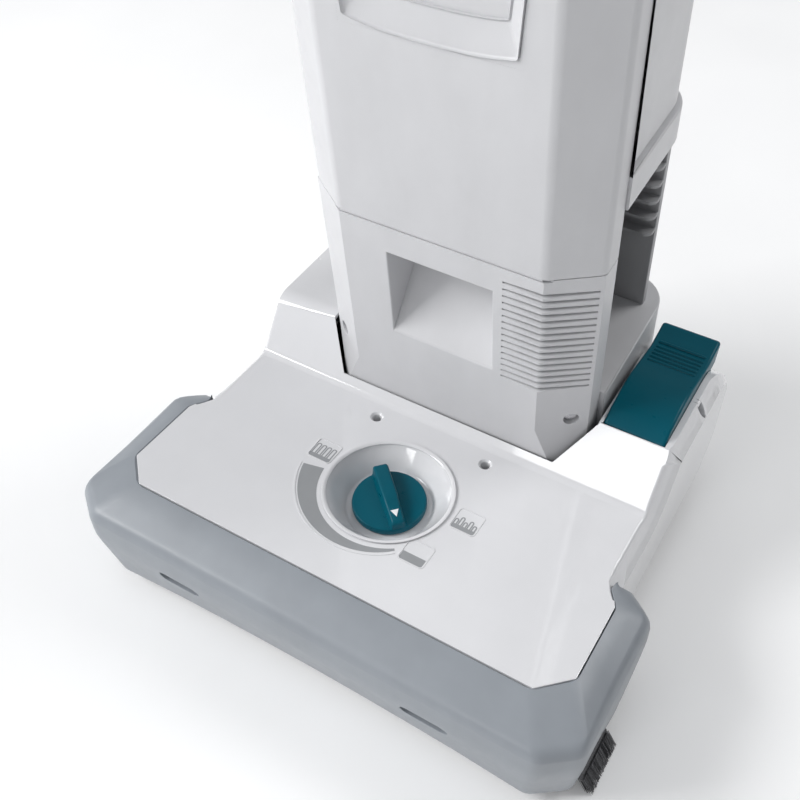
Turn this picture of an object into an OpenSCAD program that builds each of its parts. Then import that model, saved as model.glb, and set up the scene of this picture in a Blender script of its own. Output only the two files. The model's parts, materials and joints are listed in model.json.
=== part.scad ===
// Upright brush vacuum for carpets, battery driven: a floor head with a brush roller, and a tall body that
// tilts back on it. Millimetres, +Z up, -Y is the front. Head parts are drawn in machine coordinates, with
// y = 0 at the front of the bumper; body parts are drawn upright and then leaned about the pivot.

/* [Head] */
// Width over the bumper
bumper_w = 390; // [370:1:430]
// Length of the bumper's side arms, from its front
bumper_arm = 119; // [112:1:130]
// How much narrower the rear of the cover is than its top panel, each side
cover_step = 3.4; // [2:0.1:8]
// Height of the top panel at its front edge
panel_z = 95; // [93:0.5:104]
// How far the top panel falls to its rear crease
panel_fall = 7; // [4:0.5:9]
// Distance from the front to the crease where the shoulders rise
crease_y = 190; // [186:1:192]
// Height of the two shoulders
shoulder_z = 127; // [122:0.5:132]
// Distance from the front to the rear of the shoulders
head_len = 331; // [328:1:345]
// Clearance between the floor and the lower edges of the head
ground_gap = 14; // [12:0.5:16]
// Wall of the moulded head parts
head_wall = 2.5; // [2:0.1:3.2]

/* [Brush] */
// Distance from the front to the roller's axis
roller_y = 54; // [52:1:56]
// Radius of the roller at the bristle tips
roller_r = 29; // [27:0.5:30]
// Radius of the roller's core
core_r = 18; // [15:0.5:20]
// Distance from each end of the roller's core to the side of its chamber
core_gap = 16.9; // [16:0.1:26]

/* [Height dial] */
// Distance from the front to the dial's centre
dial_y = 119; // [118:1:124]
// Radius of the dial recess at the panel
cup_r = 46; // [42:0.5:48]
// Depth of the dial recess
cup_deep = 17; // [15:0.5:19]
// Radius of the dial knob
knob_r = 26.5; // [20:0.5:28]
// Width of the knob's grip bar
knob_bar_w = 11; // [8:0.5:13]

/* [Wheels and pivot] */
// Radius of the rear wheels
wheel_r = 36; // [33:0.5:38]
// Free space outside each rear wheel
wheel_room = 17.9; // [14:0.1:20]
// Radius of the front rollers
front_wheel_r = 11; // [9:0.5:12]
// Distance from the front to the tilt axis
pivot_y = 280; // [278:1:284]
// Height of the tilt axis
pivot_z = 72; // [70:0.5:76]
// Radius of the pivot trunnions
trunnion_r = 12; // [9:0.5:14]
// Forward lean of the parked body, degrees
lean = 4.5; // [3:0.1:6]
// Width of the cover's rim outside the release pedal
pedal_rim = 12.6; // [10:0.1:16]

/* [Body] */
// Half width of the body's front face
face_half = 72; // [66:1:76]
// Half width of the body at its sides
side_half = 102; // [100:0.5:104]
// Distance from the front to the body's front face
face_y = 199; // [197:0.5:200]
// Depth of the slanted corners
corner_d = 21; // [16:0.5:22]
// Distance from the front to the rear of the body
back_y = 330; // [327:1:336]
// Wall of the body mouldings
body_wall = 2.5; // [2:0.1:3]
// Height of the seam under the dust cover
seam_z = 269; // [266:1:280]
// Top of the platform on the motor housing
platform_z = 146; // [142:1:150]
// Lower edge of the rear housing
rear_low_z = 305; // [296:1:312]
// Top of the dust cover
cover_top_z = 700; // [660:1:760]
// Height of the top cap
cap_h = 72; // [60:1:90]
// Length of the handle tube above the cap
tube_len = 300; // [220:1:360]
// Radius of the handle tube
tube_r = 15; // [12:0.5:17]
// Size of the grip loop, front to back
grip_d = 96; // [88:1:120]
// Height of the straight part of the grip loop
grip_h = 66; // [50:1:90]
// Radius of the grip bar
grip_r = 14; // [12:0.5:15]
// Radius of the suction hose
hose_r = 17; // [14:0.5:19]
// Length of the hose between its cuffs
hose_len = 270; // [200:1:300]

/* [Hidden] */

$fn = 96;
eps = 0.01;
part_gap = 0.6;     // parting line between mouldings
slip = 0.4;         // gap beside a part that slides or swings
run_gap = 0.05;     // radial clearance of a running fit
white = "#dadadc";
body_grey = "#c8c8ca";
bumper_grey = "#9aa0a5";
dark_grey = "#58585a";
black = "#262628";
teal = "#004c5a";
steel = "#b4b6b8";

// ---- head: outlines ----
panel_half = bumper_w / 2 - 23.6;               // half width of the top panel
panel_y = 34;                                   // front edge of the top panel
panel_chamfer = 19;                             // slanted front corners of the top panel
corner_x = 23;                                  // bumper corner, along x
corner_y = 18;                                  // bumper corner, along y
hook = 14;                                      // how far the bumper's arm ends reach on behind its arms
cover_half = panel_half - cover_step;
high = 200;                                     // above the whole head
panel_slope = panel_fall / (crease_y - panel_y);
function panel_top(y) = panel_z - panel_slope * (y - panel_y);
ramp_y = crease_y + 29;                         // top of the ramp
fork_half = side_half + 6.5;                    // half width of the gap that the body stands in
base_half = cover_half - head_wall - part_gap;
base_front_y = 14;
chamber_half = base_half - 8;
core_len = 2 * (chamber_half - core_gap);
chamber_front_y = roller_y - roller_r - 5;
chamber_back_y = roller_y + roller_r + 5;
chamber_top_z = roller_r * 2 + 7;
base_top_z = chamber_top_z + 4;
roller_z = roller_r + 1;
floor_z = ground_gap + 3;                       // upper side of the tub's floor

// ---- head: pivot, wheels, pedal ----
bracket_in = fork_half;                         // inner face of the pivot brackets
bracket_w = 5;
wheel_in = bracket_in + bracket_w + 3;
wheel_w = base_half - head_wall - wheel_room - wheel_in;
wheel_y = pivot_y + 4;
axle_r = 5;
pedal_in = fork_half + head_wall + slip;
pedal_out = cover_half - pedal_rim;
pedal_w = pedal_out - pedal_in;
pedal_front_y = ramp_y + 1;
pedal_back_y = head_len - 5;
pedal_pin_y = pedal_front_y + 20;
pedal_pin_z = shoulder_z - 14;
pin_r = 3;
pawl_pin_y = pedal_pin_y + 26;
pawl_pin_z = pivot_z + 18;
pawl_x = wheel_in + 6;
pawl_reach = 22;                                // from the pawl's pin to where the pedal presses it
bolt_back = 12;                                 // from the pawl's pin to the lock bolt
bolt_r = 4;
bracket_top_z = pawl_pin_z + bolt_back;
shelf_z = wheel_r * 2 + 8;                      // seat of the pedal spring, over the wheel
spring_x = (pedal_in + pedal_out) / 2 + 4;
spring_y = pedal_pin_y + 30;
spring_r = 6;
press_z = pawl_pin_z + 7.5;                     // lower end of the pedal's boss over the pawl

// ---- height carriage ----
carriage_pin_y = crease_y + 16;
carriage_pin_z = ground_gap + 12;
carriage_half = 66;                             // half length of the front rollers' axle, less its ends
carriage_arm_w = 6;
front_wheel_y = chamber_back_y + front_wheel_r + 8;
cup_floor_z = panel_top(dial_y) - cup_deep;
cup_floor_r = knob_r + 4.5;
knob_stem_r = 6;
cam_z = cup_floor_z - 14;
cam_r = 17;
bridge_z = cam_z - 13.6;                         // lower side of the carriage's bridge over the duct
duct_half = 30;
duct_z1 = floor_z + 3;
duct_z2 = floor_z + 22;
duct_w = 3;
bay_back_y = crease_y + 32;                     // rear of the motor bay, front of the gap for the body
screw_x = 45.5;                                 // panel screws
screw_y = crease_y - 14.5;
screw_seat_z = panel_top(crease_y) - 14;

// ---- brush motor ----
motor_y = front_wheel_y + 58;
motor_z = pivot_z - 17;
motor_r = 24;
belt_x = -(chamber_half - 7);                   // middle of the belt
belt_w = 8;
motor_x1 = belt_x + 22.9;                       // ends of the brush motor's can
motor_x2 = -(carriage_half - 14);
small_pulley_r = 10;
large_pulley_r = 16;
belt_t = 1.8;

// ---- body, before its lean ----
rear_corner_r = 28;
rear_inner_y = back_y - body_wall - 1;          // inner side of the rear wall
bead_r = 1.5;                                   // bead that the dust cover hinges on
bead_y = face_y + bead_r;
bead_z = seam_z - part_gap / 2;
seat_x = (face_half + side_half) / 2 + 5;       // screws in the slanted corners
seat_y = face_y + corner_d / 2 + 4;
seat_z = pivot_z + 64.4;
seat_turn = atan2(corner_d, side_half - face_half);
seat_deep = 4.5;
seat_r = 5.5;
base_block_half = side_half + 4;
base_block_back = back_y + 26;
flare_half = face_half + 14;                    // half width of the front face at its lower edge
skirt_z = pivot_z + 21.4;                       // lower edge of the front face
flare_top_z = skirt_z + 34;
barrel_r = 50;
drum_r = 30;
drum_half = 40;
seam_y = face_y + corner_d + 17;                // seam between the front parts and the rear parts
column_half = 70;
spine_half = side_half - 7;
spine_y = back_y - 3;
spine_t = 6;
rib_count = 5;
rib_step = 13.5;
band_h = 24;
pocket_half = 38;
pocket_low_z = seam_z - 97;
pocket_h = 73;
pocket_deep = 42;
louvre_count = 16;
louvre_step = 5.69;
louvre_slot = 1.7;
louvre_top_z = seam_z - 13;
louvre_x = 45;
cap_top_z = cover_top_z + cap_h;
tube_y = back_y - 50;
grip_low_z = cap_top_z + tube_len;
loop_z = grip_low_z + grip_d / 2;               // centres of the grip loop's lower and upper halves
loop_r = grip_d / 2 - grip_r;
switch_z = loop_z + grip_h - 20;
panel_recess_z = rear_low_z + 96;               // lower edge of the cover's sunken panel
riser_x = -50;
riser_y = back_y - 22;
riser_r = 15;
fan_x = 24;
fan_y = back_y - 46;
fan_r = 37;
fan_z = platform_z + 14;
impeller_h = 12;
battery_w = 78;
battery_d = 46;
battery_h = 120;
battery_z = cover_top_z - battery_h - 12;
battery_y = back_y + 8;
battery_back_y = battery_y + battery_d;
cuff_r = hose_r + 4;
hose_y = back_y + cuff_r + 6;
hose_x = 32;
hose_low_z = platform_z + 24;
hose_top_z = hose_low_z + hose_len;
wand_r = 16;
tool_x = 78;
tool_w = 22;
tool_z = rear_low_z + 40;
tool_len = 200;
tool_y = back_y + 15;
bag_w = 150;                                    // dust bag
bag_r = 24;
board_half = 64;                                // control board

// The rear-most point is the foot of the hose port; the origin stands halfway between it and the bumper.
port_z = platform_z - 20;
rear_reach = pivot_y + (hose_y + cuff_r - pivot_y) * cos(lean) - (port_z - pivot_z) * sin(lean);
origin_y = rear_reach / 2;

// ---- helpers ----
module machine() translate([0, -origin_y, 0]) children();
module leaned() machine() translate([0, pivot_y, pivot_z]) rotate([lean, 0, 0]) translate([0, -pivot_y, -pivot_z])
    children();
// Outline of (y, z) points, made w wide across the machine
module across(w, x = 0) translate([x, 0, 0]) rotate([90, 0, 90]) linear_extrude(w, center = true) children();
// Outline of (x, z) points, made from y1 to y2
module along(y1, y2) translate([0, y2, 0]) rotate([90, 0, 0]) linear_extrude(y2 - y1) children();
module upright(z1, z2) translate([0, 0, z1]) linear_extrude(z2 - z1) children();
module rod_x(x1, x2, y, z, r) translate([x1, y, z]) rotate([0, 90, 0]) cylinder(h = x2 - x1, r = r);
module rod_z(z1, z2, x, y, r) translate([x, y, z1]) cylinder(h = z2 - z1, r = r);
module block(lo, hi) translate(lo) cube(hi - lo);
module both_sides() {
    children();
    mirror([1, 0, 0]) children();
}
module rounded(w, d, r) {
    square([w, d - 2 * r], center = true);
    square([w - 2 * r, d], center = true);
    for (sx = [-1, 1], sy = [-1, 1]) translate([sx * (w / 2 - r), sy * (d / 2 - r)]) circle(r);
}
function arc(cx, cy, r, a0, a1, n) =
    [for (i = [0:n]) let (a = a0 + (a1 - a0) * i / n) [cx + r * cos(a), cy + r * sin(a)]];
function mirrored(points) = [for (i = [len(points) - 1:-1:0]) [-points[i][0], points[i][1]]];

// ---- floor head ----
// Half outline of the top panel, seen from above, drawn in by g
function panel_half_outline(g) = [
    [panel_half - panel_chamfer - 0.4 * g, panel_y + g], [panel_half - g, panel_y + panel_chamfer + 0.4 * g],
    [panel_half - g, bumper_arm - 8], [cover_half - g, bumper_arm], [cover_half - g, head_len - g]
];
module panel_plan(g = 0) polygon(concat(panel_half_outline(g), mirrored(panel_half_outline(g))));

// Side profile of the cover, drawn in by g
function cover_profile(g) = concat(
    [[-1, ground_gap - eps], [-1, panel_top(-1) - g], [crease_y + 0.45 * g, panel_top(crease_y) - g],
     [ramp_y + 0.45 * g, shoulder_z - g]],
    arc(head_len - 42, shoulder_z - 42, 42 - g, 86, 12, 9),
    arc(head_len - 30, 50, 30 - g, 12, -62, 7),
    [[head_len - 20 - g, ground_gap - eps]]
);
module body_gap_plan() polygon(concat(
    [[flare_half + 1.5, face_y - 3.2], [fork_half, face_y + corner_d - 2], [fork_half, head_len + 9]],
    mirrored([[flare_half + 1.5, face_y - 3.2], [fork_half, face_y + corner_d - 2], [fork_half, head_len + 9]])
));
module pedal_slot() block([pedal_in - slip, pedal_front_y - slip, shoulder_z - 35],
    [pedal_out + slip, head_len + 9, shoulder_z + 30]);

module head_cover() color(white) machine() difference() {
    union() {
        difference() {
            intersection() {
                across(2 * cover_half + 30) polygon(cover_profile(0));
                upright(ground_gap, high) panel_plan();
            }
            intersection() {
                across(2 * cover_half + 30) polygon(cover_profile(head_wall));
                upright(ground_gap - 2, high) panel_plan(head_wall);
            }
        }
        // screw wells under the panel
        both_sides() rod_z(screw_seat_z - 2, panel_top(screw_y) - 1, screw_x, screw_y, 6);
    }
    // under the bumper the panel has no walls
    block([-panel_half - 9, -2, 0], [panel_half + 9, bumper_arm + 2, panel_top(bumper_arm) - head_wall - 8]);
    // the wheels reach out under the rear wall
    block([-cover_half + head_wall, wheel_y, 0], [cover_half - head_wall, head_len + 9, wheel_r - 2]);
    difference() {
        upright(-1, high) body_gap_plan();
        // inner walls of the shoulders, over the brackets
        both_sides() block([fork_half, ramp_y - 8, bracket_top_z + 1],
            [fork_half + head_wall, head_len - 12, shoulder_z - head_wall]);
    }
    pedal_slot();
    rod_z(0, high, 0, dial_y, cup_r - 2);
    both_sides() {
        rod_x(wheel_in - 3, wheel_in + wheel_w + 3, wheel_y, wheel_r, wheel_r + 2.5);
        rod_z(screw_seat_z, high, screw_x, screw_y, 3.4);
        rod_z(screw_seat_z - 9, high, screw_x, screw_y, 1.9);
        translate([screw_x, screw_y, panel_top(screw_y) - 1.5]) cylinder(h = 6, r1 = 3.4, r2 = 9.4);
        translate([cover_half + 1, head_len - 60, shoulder_z]) rotate([0, 24, 0])
            cylinder(h = 30, r = 3.6, center = true);
    }
}

// Outline of the bumper seen from above, drawn in by g
function bumper_outline(g) = [
    [bumper_w / 2 - corner_x - 0.45 * g, g], [bumper_w / 2 - g, corner_y + 0.55 * g],
    [bumper_w / 2 - g, bumper_arm], [bumper_w / 2 - 2.5 - g, bumper_arm + 4],
    [bumper_w / 2 - 17, bumper_arm + hook], [cover_half + part_gap, bumper_arm + hook]
];
module bumper_plan(g = 0) polygon(concat(bumper_outline(g), mirrored(bumper_outline(g))));
function bumper_profile() = concat(
    [[12, ground_gap], [1, 60]], arc(11, panel_z - 19, 11, 180, 104, 7),
    [[panel_y, panel_z - 0.5], [bumper_arm + hook + 1, panel_top(bumper_arm + hook)],
     [bumper_arm + hook + 1, ground_gap]]
);
function bumper_front() = concat(
    [[bumper_w / 2 - 2.5, ground_gap], [bumper_w / 2, 60]],
    arc(bumper_w / 2 - 10, panel_z - 18, 10, 0, 76, 6), [[panel_half - 4, panel_z + 2]]
);
module bumper() color(bumper_grey) machine() difference() {
    intersection() {
        upright(ground_gap, panel_z + 4) bumper_plan();
        across(bumper_w + 2) polygon(bumper_profile());
        along(-1, bumper_arm + hook + 1) polygon(concat(bumper_front(), mirrored(bumper_front())));
    }
    // the top panel sits in here
    upright(base_top_z, panel_z + 9) panel_plan(-part_gap);
    // the chassis stands in here
    intersection() {
        upright(ground_gap - 1, panel_z - 12) bumper_plan(10);
        block([-bumper_w, 0, 0], [bumper_w, bumper_arm, base_top_z + 1 + part_gap]);
    }
    block([-panel_half - part_gap, base_front_y - part_gap, 0],
          [panel_half + part_gap, bumper_arm, base_top_z + 1 + part_gap]);
    // the cover's side walls pass between the hooks
    block([-cover_half - part_gap, bumper_arm - 1, 0], [cover_half + part_gap, bumper_arm + hook + 9, high]);
    for (x = [-100, 96]) block([x - 17, -1, 46], [x + 17, 5.2, 54]);
}

// Bristle strips that sweep beside the head, under the bumper's arms
module edge_brushes() color(black) machine() both_sides() {
    along(panel_y, bumper_arm - 14) polygon([[bumper_w / 2 - 9, ground_gap], [bumper_w / 2 - 2, ground_gap],
        [bumper_w / 2 + 9, 0.3], [bumper_w / 2 + 1, 0.3]]);
}

module head_base() color(dark_grey) machine() difference() {
    union() {
        difference() {
            union() {
                block([-panel_half + 2, base_front_y, ground_gap], [panel_half - 2, bumper_arm - 9, base_top_z]);
                block([-base_half, bumper_arm - 10, ground_gap], [base_half, head_len - 24, base_top_z - 18]);
            }
            // brush chamber, open at the floor
            block([-chamber_half, chamber_front_y, -1], [chamber_half, chamber_back_y, chamber_top_z]);
            // motor bay, open at the top
            block([-base_half + head_wall, chamber_back_y + 3, floor_z],
                [base_half - head_wall, bay_back_y, base_top_z + 1]);
            // belt way and suction opening through the chamber's rear wall
            block([-chamber_half, chamber_back_y - 1, floor_z + 2],
                [-chamber_half + 14, chamber_back_y + 4, base_top_z - 5]);
            block([-duct_half, chamber_back_y - 1, duct_z1], [duct_half, chamber_back_y + 4, duct_z2]);
            // openings for the front rollers and the carriage's arms
            block([-carriage_half - 14, chamber_back_y + 3, -1],
                [carriage_half + 14, front_wheel_y + 33, floor_z + 1]);
            both_sides() block([carriage_half - 18, front_wheel_y, -1],
                [carriage_half - 6, carriage_pin_y - 10, floor_z + 1]);
            // gap that the body stands in
            block([-fork_half, bay_back_y, -1], [fork_half, head_len + 9, high]);
            // wheel wells
            both_sides() block([bracket_in + bracket_w, wheel_y - wheel_r - 2.5, -1],
                [base_half - head_wall, head_len + 9, 99]);
        }
        both_sides() {
            // pivot bracket
            block([bracket_in, bay_back_y + 10, ground_gap],
                [bracket_in + bracket_w, pivot_y + 24, pivot_z + 4]);
            block([bracket_in, pawl_pin_y - 24, pivot_z],
                [bracket_in + bracket_w, pawl_pin_y + 6, bracket_top_z]);
            rod_x(bracket_in, bracket_in + bracket_w, pivot_y, pivot_z, trunnion_r + 8);
            // arch over the wheel
            block([wheel_in - 0.4, pawl_pin_y - 8, shelf_z - 2.5], [base_half, spring_y + 14, shelf_z]);
            block([base_half - head_wall, pawl_pin_y - 8, ground_gap], [base_half, spring_y + 14, shelf_z]);
        }
        // ears for the pedal's pin
        for (x = [wheel_in - 1, pedal_out - 7])
            block([x, pedal_pin_y - 6, ground_gap], [x + 3, pedal_pin_y + 5.5, pedal_pin_z + 6]);
        // bosses for the carriage's pins, posts for the panel screws
        both_sides() {
            block([carriage_half - 7, carriage_pin_y - 6, ground_gap],
                [carriage_half, carriage_pin_y + 6, carriage_pin_z + 6]);
            rod_z(ground_gap, screw_seat_z - 2, screw_x, screw_y, 4.5);
        }
    }
    both_sides() {
        rod_x(bracket_in - 1, bracket_in + bracket_w + 1, pivot_y, pivot_z, trunnion_r + run_gap);
        rod_x(bracket_in - 1, base_half + 9, wheel_y, wheel_r, axle_r);
        rod_x(carriage_half - 8, carriage_half + 1, carriage_pin_y, carriage_pin_z, pin_r + run_gap);
        rod_x(chamber_half - 1, panel_half + 9, roller_y, roller_z, 11);
        rod_z(screw_seat_z - 14, screw_seat_z, screw_x, screw_y, 1.7);
    }
    rod_x(wheel_in - 2, pedal_out, pedal_pin_y, pedal_pin_z, pin_r);
    rod_x(bracket_in - 1, wheel_in, pawl_pin_y, pawl_pin_z, pin_r);
    // the lock bolt swings in here
    rod_x(bracket_in - 1, wheel_in - 1.5, pawl_pin_y - bolt_back, pawl_pin_z, bolt_r + 1);
    rod_x(bracket_in - 1, wheel_in - 1.5, pawl_pin_y - bolt_back + 1, pawl_pin_z + 4, bolt_r + 1);
}

module sole_plate() color(steel) machine() difference() {
    block([-panel_half + 3, base_front_y + 1, ground_gap - 3], [panel_half - 3, chamber_back_y + 3, ground_gap]);
    block([-chamber_half + 2, chamber_front_y + 2, 0], [chamber_half - 2, chamber_back_y - 2, ground_gap + 1]);
}

module roller_bearings() color(black) machine() both_sides() difference() {
    rod_x(chamber_half - 1, panel_half - 4, roller_y, roller_z, 11);
    rod_x(chamber_half - 2, panel_half, roller_y, roller_z, axle_r + run_gap);
}
module roller_core() color(dark_grey) machine() {
    rod_x(-core_len / 2, core_len / 2, roller_y, roller_z, core_r);
    rod_x(-panel_half + 6, panel_half - 6, roller_y, roller_z, axle_r);
}
// Tufts in two spirals round the core
module roller_bristles() color(black) machine()
    for (row = [0, 1], i = [0:19]) translate([(i - 9.5) * (core_len - 20) / 20, roller_y, roller_z])
        rotate([row * 180 + i * 18, 0, 0]) translate([0, 0, core_r])
            cylinder(h = roller_r - core_r, r1 = 3.4, r2 = 4.2, $fn = 16);
module roller_pulley() color(black) machine() difference() {
    rod_x(belt_x - belt_w / 2 - 1, belt_x + belt_w / 2 + 1, roller_y, roller_z, large_pulley_r);
    rod_x(belt_x - 9, belt_x + 9, roller_y, roller_z, axle_r);
}
module motor_pulley() color(steel) machine() {
    rod_x(belt_x - belt_w / 2 - 1, belt_x + belt_w / 2 + 1, motor_y, motor_z, small_pulley_r);
    rod_x(belt_x - 1, motor_x1 + 18, motor_y, motor_z, 3);
}
module brush_motor() color(steel) machine() difference() {
    union() {
        rod_x(motor_x1, motor_x2, motor_y, motor_z, motor_r);
        rod_x(motor_x1 - 7, motor_x1 + 1, motor_y, motor_z, 9);
        block([motor_x1 + 12, motor_y - 14, floor_z], [motor_x2 - 10, motor_y + 14, motor_z - 12]);
    }
    rod_x(motor_x1 - 8, motor_x1 + 20, motor_y, motor_z, 3 + run_gap);
}
// Points of an open belt round two pulleys, with its skin g outside them
function belt_loop(g) = let (
        dy = motor_y - roller_y, dz = motor_z - roller_z, dist = norm([dy, dz]), dir = atan2(dz, dy),
        wrap = acos((large_pulley_r - small_pulley_r) / dist))
    concat(arc(roller_y, roller_z, large_pulley_r + g, dir + wrap, dir + 360 - wrap, 24),
           arc(motor_y, motor_z, small_pulley_r + g, dir - wrap, dir + wrap, 16));
module drive_belt() color(black) machine() across(belt_w, belt_x) difference() {
    polygon(belt_loop(0.3 + belt_t));
    polygon(belt_loop(0.3));
}

// Air way from the brush chamber to the seat of the pivot drum
module suction_duct() color(black) machine() difference() {
    across(2 * duct_half) polygon([
        [chamber_back_y, duct_z1], [pivot_y - 42, duct_z1], [pivot_y - 20, duct_z1 + 24],
        [pivot_y - 20, pivot_z - 6], [pivot_y - 34, pivot_z - 6],
        [pivot_y - 52, duct_z2], [chamber_back_y, duct_z2]]);
    across(2 * duct_half - 2 * duct_w) polygon([
        [chamber_back_y - 1, duct_z1 + duct_w], [pivot_y - 43.5, duct_z1 + duct_w],
        [pivot_y - 19, duct_z1 + 31], [pivot_y - 19, pivot_z - 6 - duct_w],
        [pivot_y - 32.6, pivot_z - 6 - duct_w],
        [pivot_y - 50.6, duct_z2 - duct_w], [chamber_back_y - 1, duct_z2 - duct_w]]);
    rod_x(-duct_half - 1, duct_half + 1, pivot_y, pivot_z, drum_r + slip);
}

module dial_cup() color(white) machine() difference() {
    union() {
        translate([0, dial_y, cup_floor_z - 2])
            cylinder(h = cup_deep + 2 - 0.6, r1 = cup_floor_r + 3, r2 = cup_r - 2 - part_gap / 2);
        rod_z(cup_floor_z - 12, cup_floor_z, 0, dial_y, knob_stem_r + 4);
    }
    translate([0, dial_y, cup_floor_z]) cylinder(h = cup_deep, r1 = cup_floor_r, r2 = cup_r - 3.2);
    rod_z(cup_floor_z - 30, cup_floor_z + 1, 0, dial_y, knob_stem_r + run_gap);
    // trimmed to the slope of the panel
    across(2 * cup_r + 9) let (y1 = dial_y - cup_r - 9, y2 = dial_y + cup_r + 9)
        polygon([[y1, panel_top(y1)], [y2, panel_top(y2)], [y2, high], [y1, high]]);
}
module height_knob() color(teal) machine() {
    rod_z(cup_floor_z + 0.8, cup_floor_z + 7, 0, dial_y, knob_r);
    rod_z(cam_z, cup_floor_z + 1, 0, dial_y, knob_stem_r);
    translate([0, dial_y, 0]) rotate([0, 0, -43.5]) translate([0, -knob_bar_w / 2, cup_floor_z + 6])
        rotate([90, 0, 90]) translate([0, 0, -knob_r + 0.6]) linear_extrude(2 * knob_r - 1.2)
            polygon([[-1.4, 0], [1.2, 11], [knob_bar_w - 1.2, 11], [knob_bar_w + 1.4, 0]]);
}
module height_cam() color(black) machine() {
    rod_z(cam_z - 5, cam_z, 0, dial_y, cam_r);
    rod_z(cam_z - 7, cam_z - 4, 9, dial_y, 4);
}

module front_carriage() color(dark_grey) machine() {
    both_sides() difference() {
        union() {
            across(carriage_arm_w, carriage_half - 12) union() {
                polygon([[front_wheel_y, front_wheel_r - 4], [front_wheel_y, front_wheel_r + 4],
                    [carriage_pin_y, carriage_pin_z + 5], [carriage_pin_y, carriage_pin_z - 5]]);
                translate([front_wheel_y, front_wheel_r]) circle(6);
                translate([carriage_pin_y, carriage_pin_z]) circle(7);
                // leg of the bridge
                translate([dial_y - 6, front_wheel_r]) square([14, bridge_z + 4 - front_wheel_r]);
            }
            rod_x(carriage_half - 12, carriage_half, carriage_pin_y, carriage_pin_z, pin_r);
        }
        rod_x(carriage_half - 20, carriage_half, front_wheel_y, front_wheel_r, pin_r + run_gap);
    }
    // bridge under the cam, tie bar under the duct
    block([-carriage_half + 9, dial_y - 6, bridge_z], [carriage_half - 9, dial_y + 8, bridge_z + 4]);
    block([-carriage_half + 9, front_wheel_y + 17, front_wheel_r - 2],
        [carriage_half - 9, front_wheel_y + 27, front_wheel_r + 3]);
}
module front_rollers() color(black) machine() {
    rod_x(-carriage_half - 2, carriage_half + 2, front_wheel_y, front_wheel_r, pin_r);
    both_sides() {
        rod_x(carriage_half - 6, carriage_half + 12, front_wheel_y, front_wheel_r, front_wheel_r);
        rod_x(duct_half + 4, carriage_half - 18, front_wheel_y, front_wheel_r, front_wheel_r);
    }
}

module rear_axles() color(steel) machine() both_sides() {
    rod_x(bracket_in + 0.4, base_half, wheel_y, wheel_r, axle_r);
    rod_x(bracket_in + bracket_w, wheel_in - 0.3, wheel_y, wheel_r, axle_r + 4);
}
module rear_wheel() machine() difference() {
    union() {
        rod_x(wheel_in, wheel_in + wheel_w, wheel_y, wheel_r, 10);
        rod_x(wheel_in + 6, wheel_in + wheel_w - 6, wheel_y, wheel_r, wheel_r - 5);
        difference() {
            rod_x(wheel_in + 1, wheel_in + wheel_w - 1, wheel_y, wheel_r, wheel_r - 5);
            rod_x(wheel_in, wheel_in + wheel_w, wheel_y, wheel_r, wheel_r - 10);
        }
    }
    rod_x(wheel_in - 1, wheel_in + wheel_w + 1, wheel_y, wheel_r, axle_r + run_gap);
    for (a = [0:60:300]) translate([0, wheel_y, wheel_r]) rotate([a, 0, 0])
        rod_x(wheel_in, wheel_in + wheel_w, 0, wheel_r - 17, 4);
}
module rear_tyre() machine() difference() {
    rod_x(wheel_in + 1, wheel_in + wheel_w - 1, wheel_y, wheel_r, wheel_r);
    rod_x(wheel_in, wheel_in + wheel_w, wheel_y, wheel_r, wheel_r - 5);
}
module rear_wheel_left() color(dark_grey) mirror([1, 0, 0]) rear_wheel();
module rear_wheel_right() color(dark_grey) rear_wheel();
module rear_tyre_left() color(black) mirror([1, 0, 0]) rear_tyre();
module rear_tyre_right() color(black) rear_tyre();

module pedal_boss() block([pawl_x - 3, pawl_pin_y + pawl_reach - 3, press_z],
    [pawl_x + 3, pawl_pin_y + pawl_reach + 3, shoulder_z]);
module release_pedal() color(teal) machine() difference() {
    union() {
        pedal_boss();
        across(pedal_w, (pedal_in + pedal_out) / 2) polygon(concat(
            [[pedal_front_y, shoulder_z - 10], [pedal_front_y, shoulder_z - 1],
             [pedal_front_y + 9, shoulder_z + 7]],
            arc(pedal_front_y + 38, shoulder_z - 50, 62, 108, 76, 6),
            [[pedal_back_y - 22, shoulder_z + 5], [pedal_back_y - 8, shoulder_z + 8],
             [pedal_back_y, shoulder_z + 10], [pedal_back_y + 2, shoulder_z + 7],
             [pedal_back_y - 1, shoulder_z - 8], [pedal_pin_y + 9, shoulder_z - 22],
             [pedal_pin_y - 9, shoulder_z - 22]]));
    }
    // hollow underneath, with the boss left to press the pawl
    difference() {
        block([pedal_in + 3, pedal_front_y + 3, 60], [pedal_out - 3, pedal_back_y - 4, shoulder_z - 5]);
        pedal_boss();
    }
    rod_x(pedal_in - 1, pedal_out + 1, pedal_pin_y, pedal_pin_z, pin_r + run_gap);
}
module pedal_pins() color(steel) machine() {
    rod_x(pedal_in + 0.5, pedal_out - 0.5, pedal_pin_y, pedal_pin_z, pin_r);
    rod_x(bracket_in + 0.2, pawl_x + 4.2, pawl_pin_y, pawl_pin_z, pin_r);
}
module pedal_spring() color(steel) machine() difference() {
    rod_z(shelf_z, shoulder_z - 6, spring_x, spring_y, spring_r);
    rod_z(shelf_z - 1, shoulder_z - 5, spring_x, spring_y, spring_r - 1.6);
}
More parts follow.
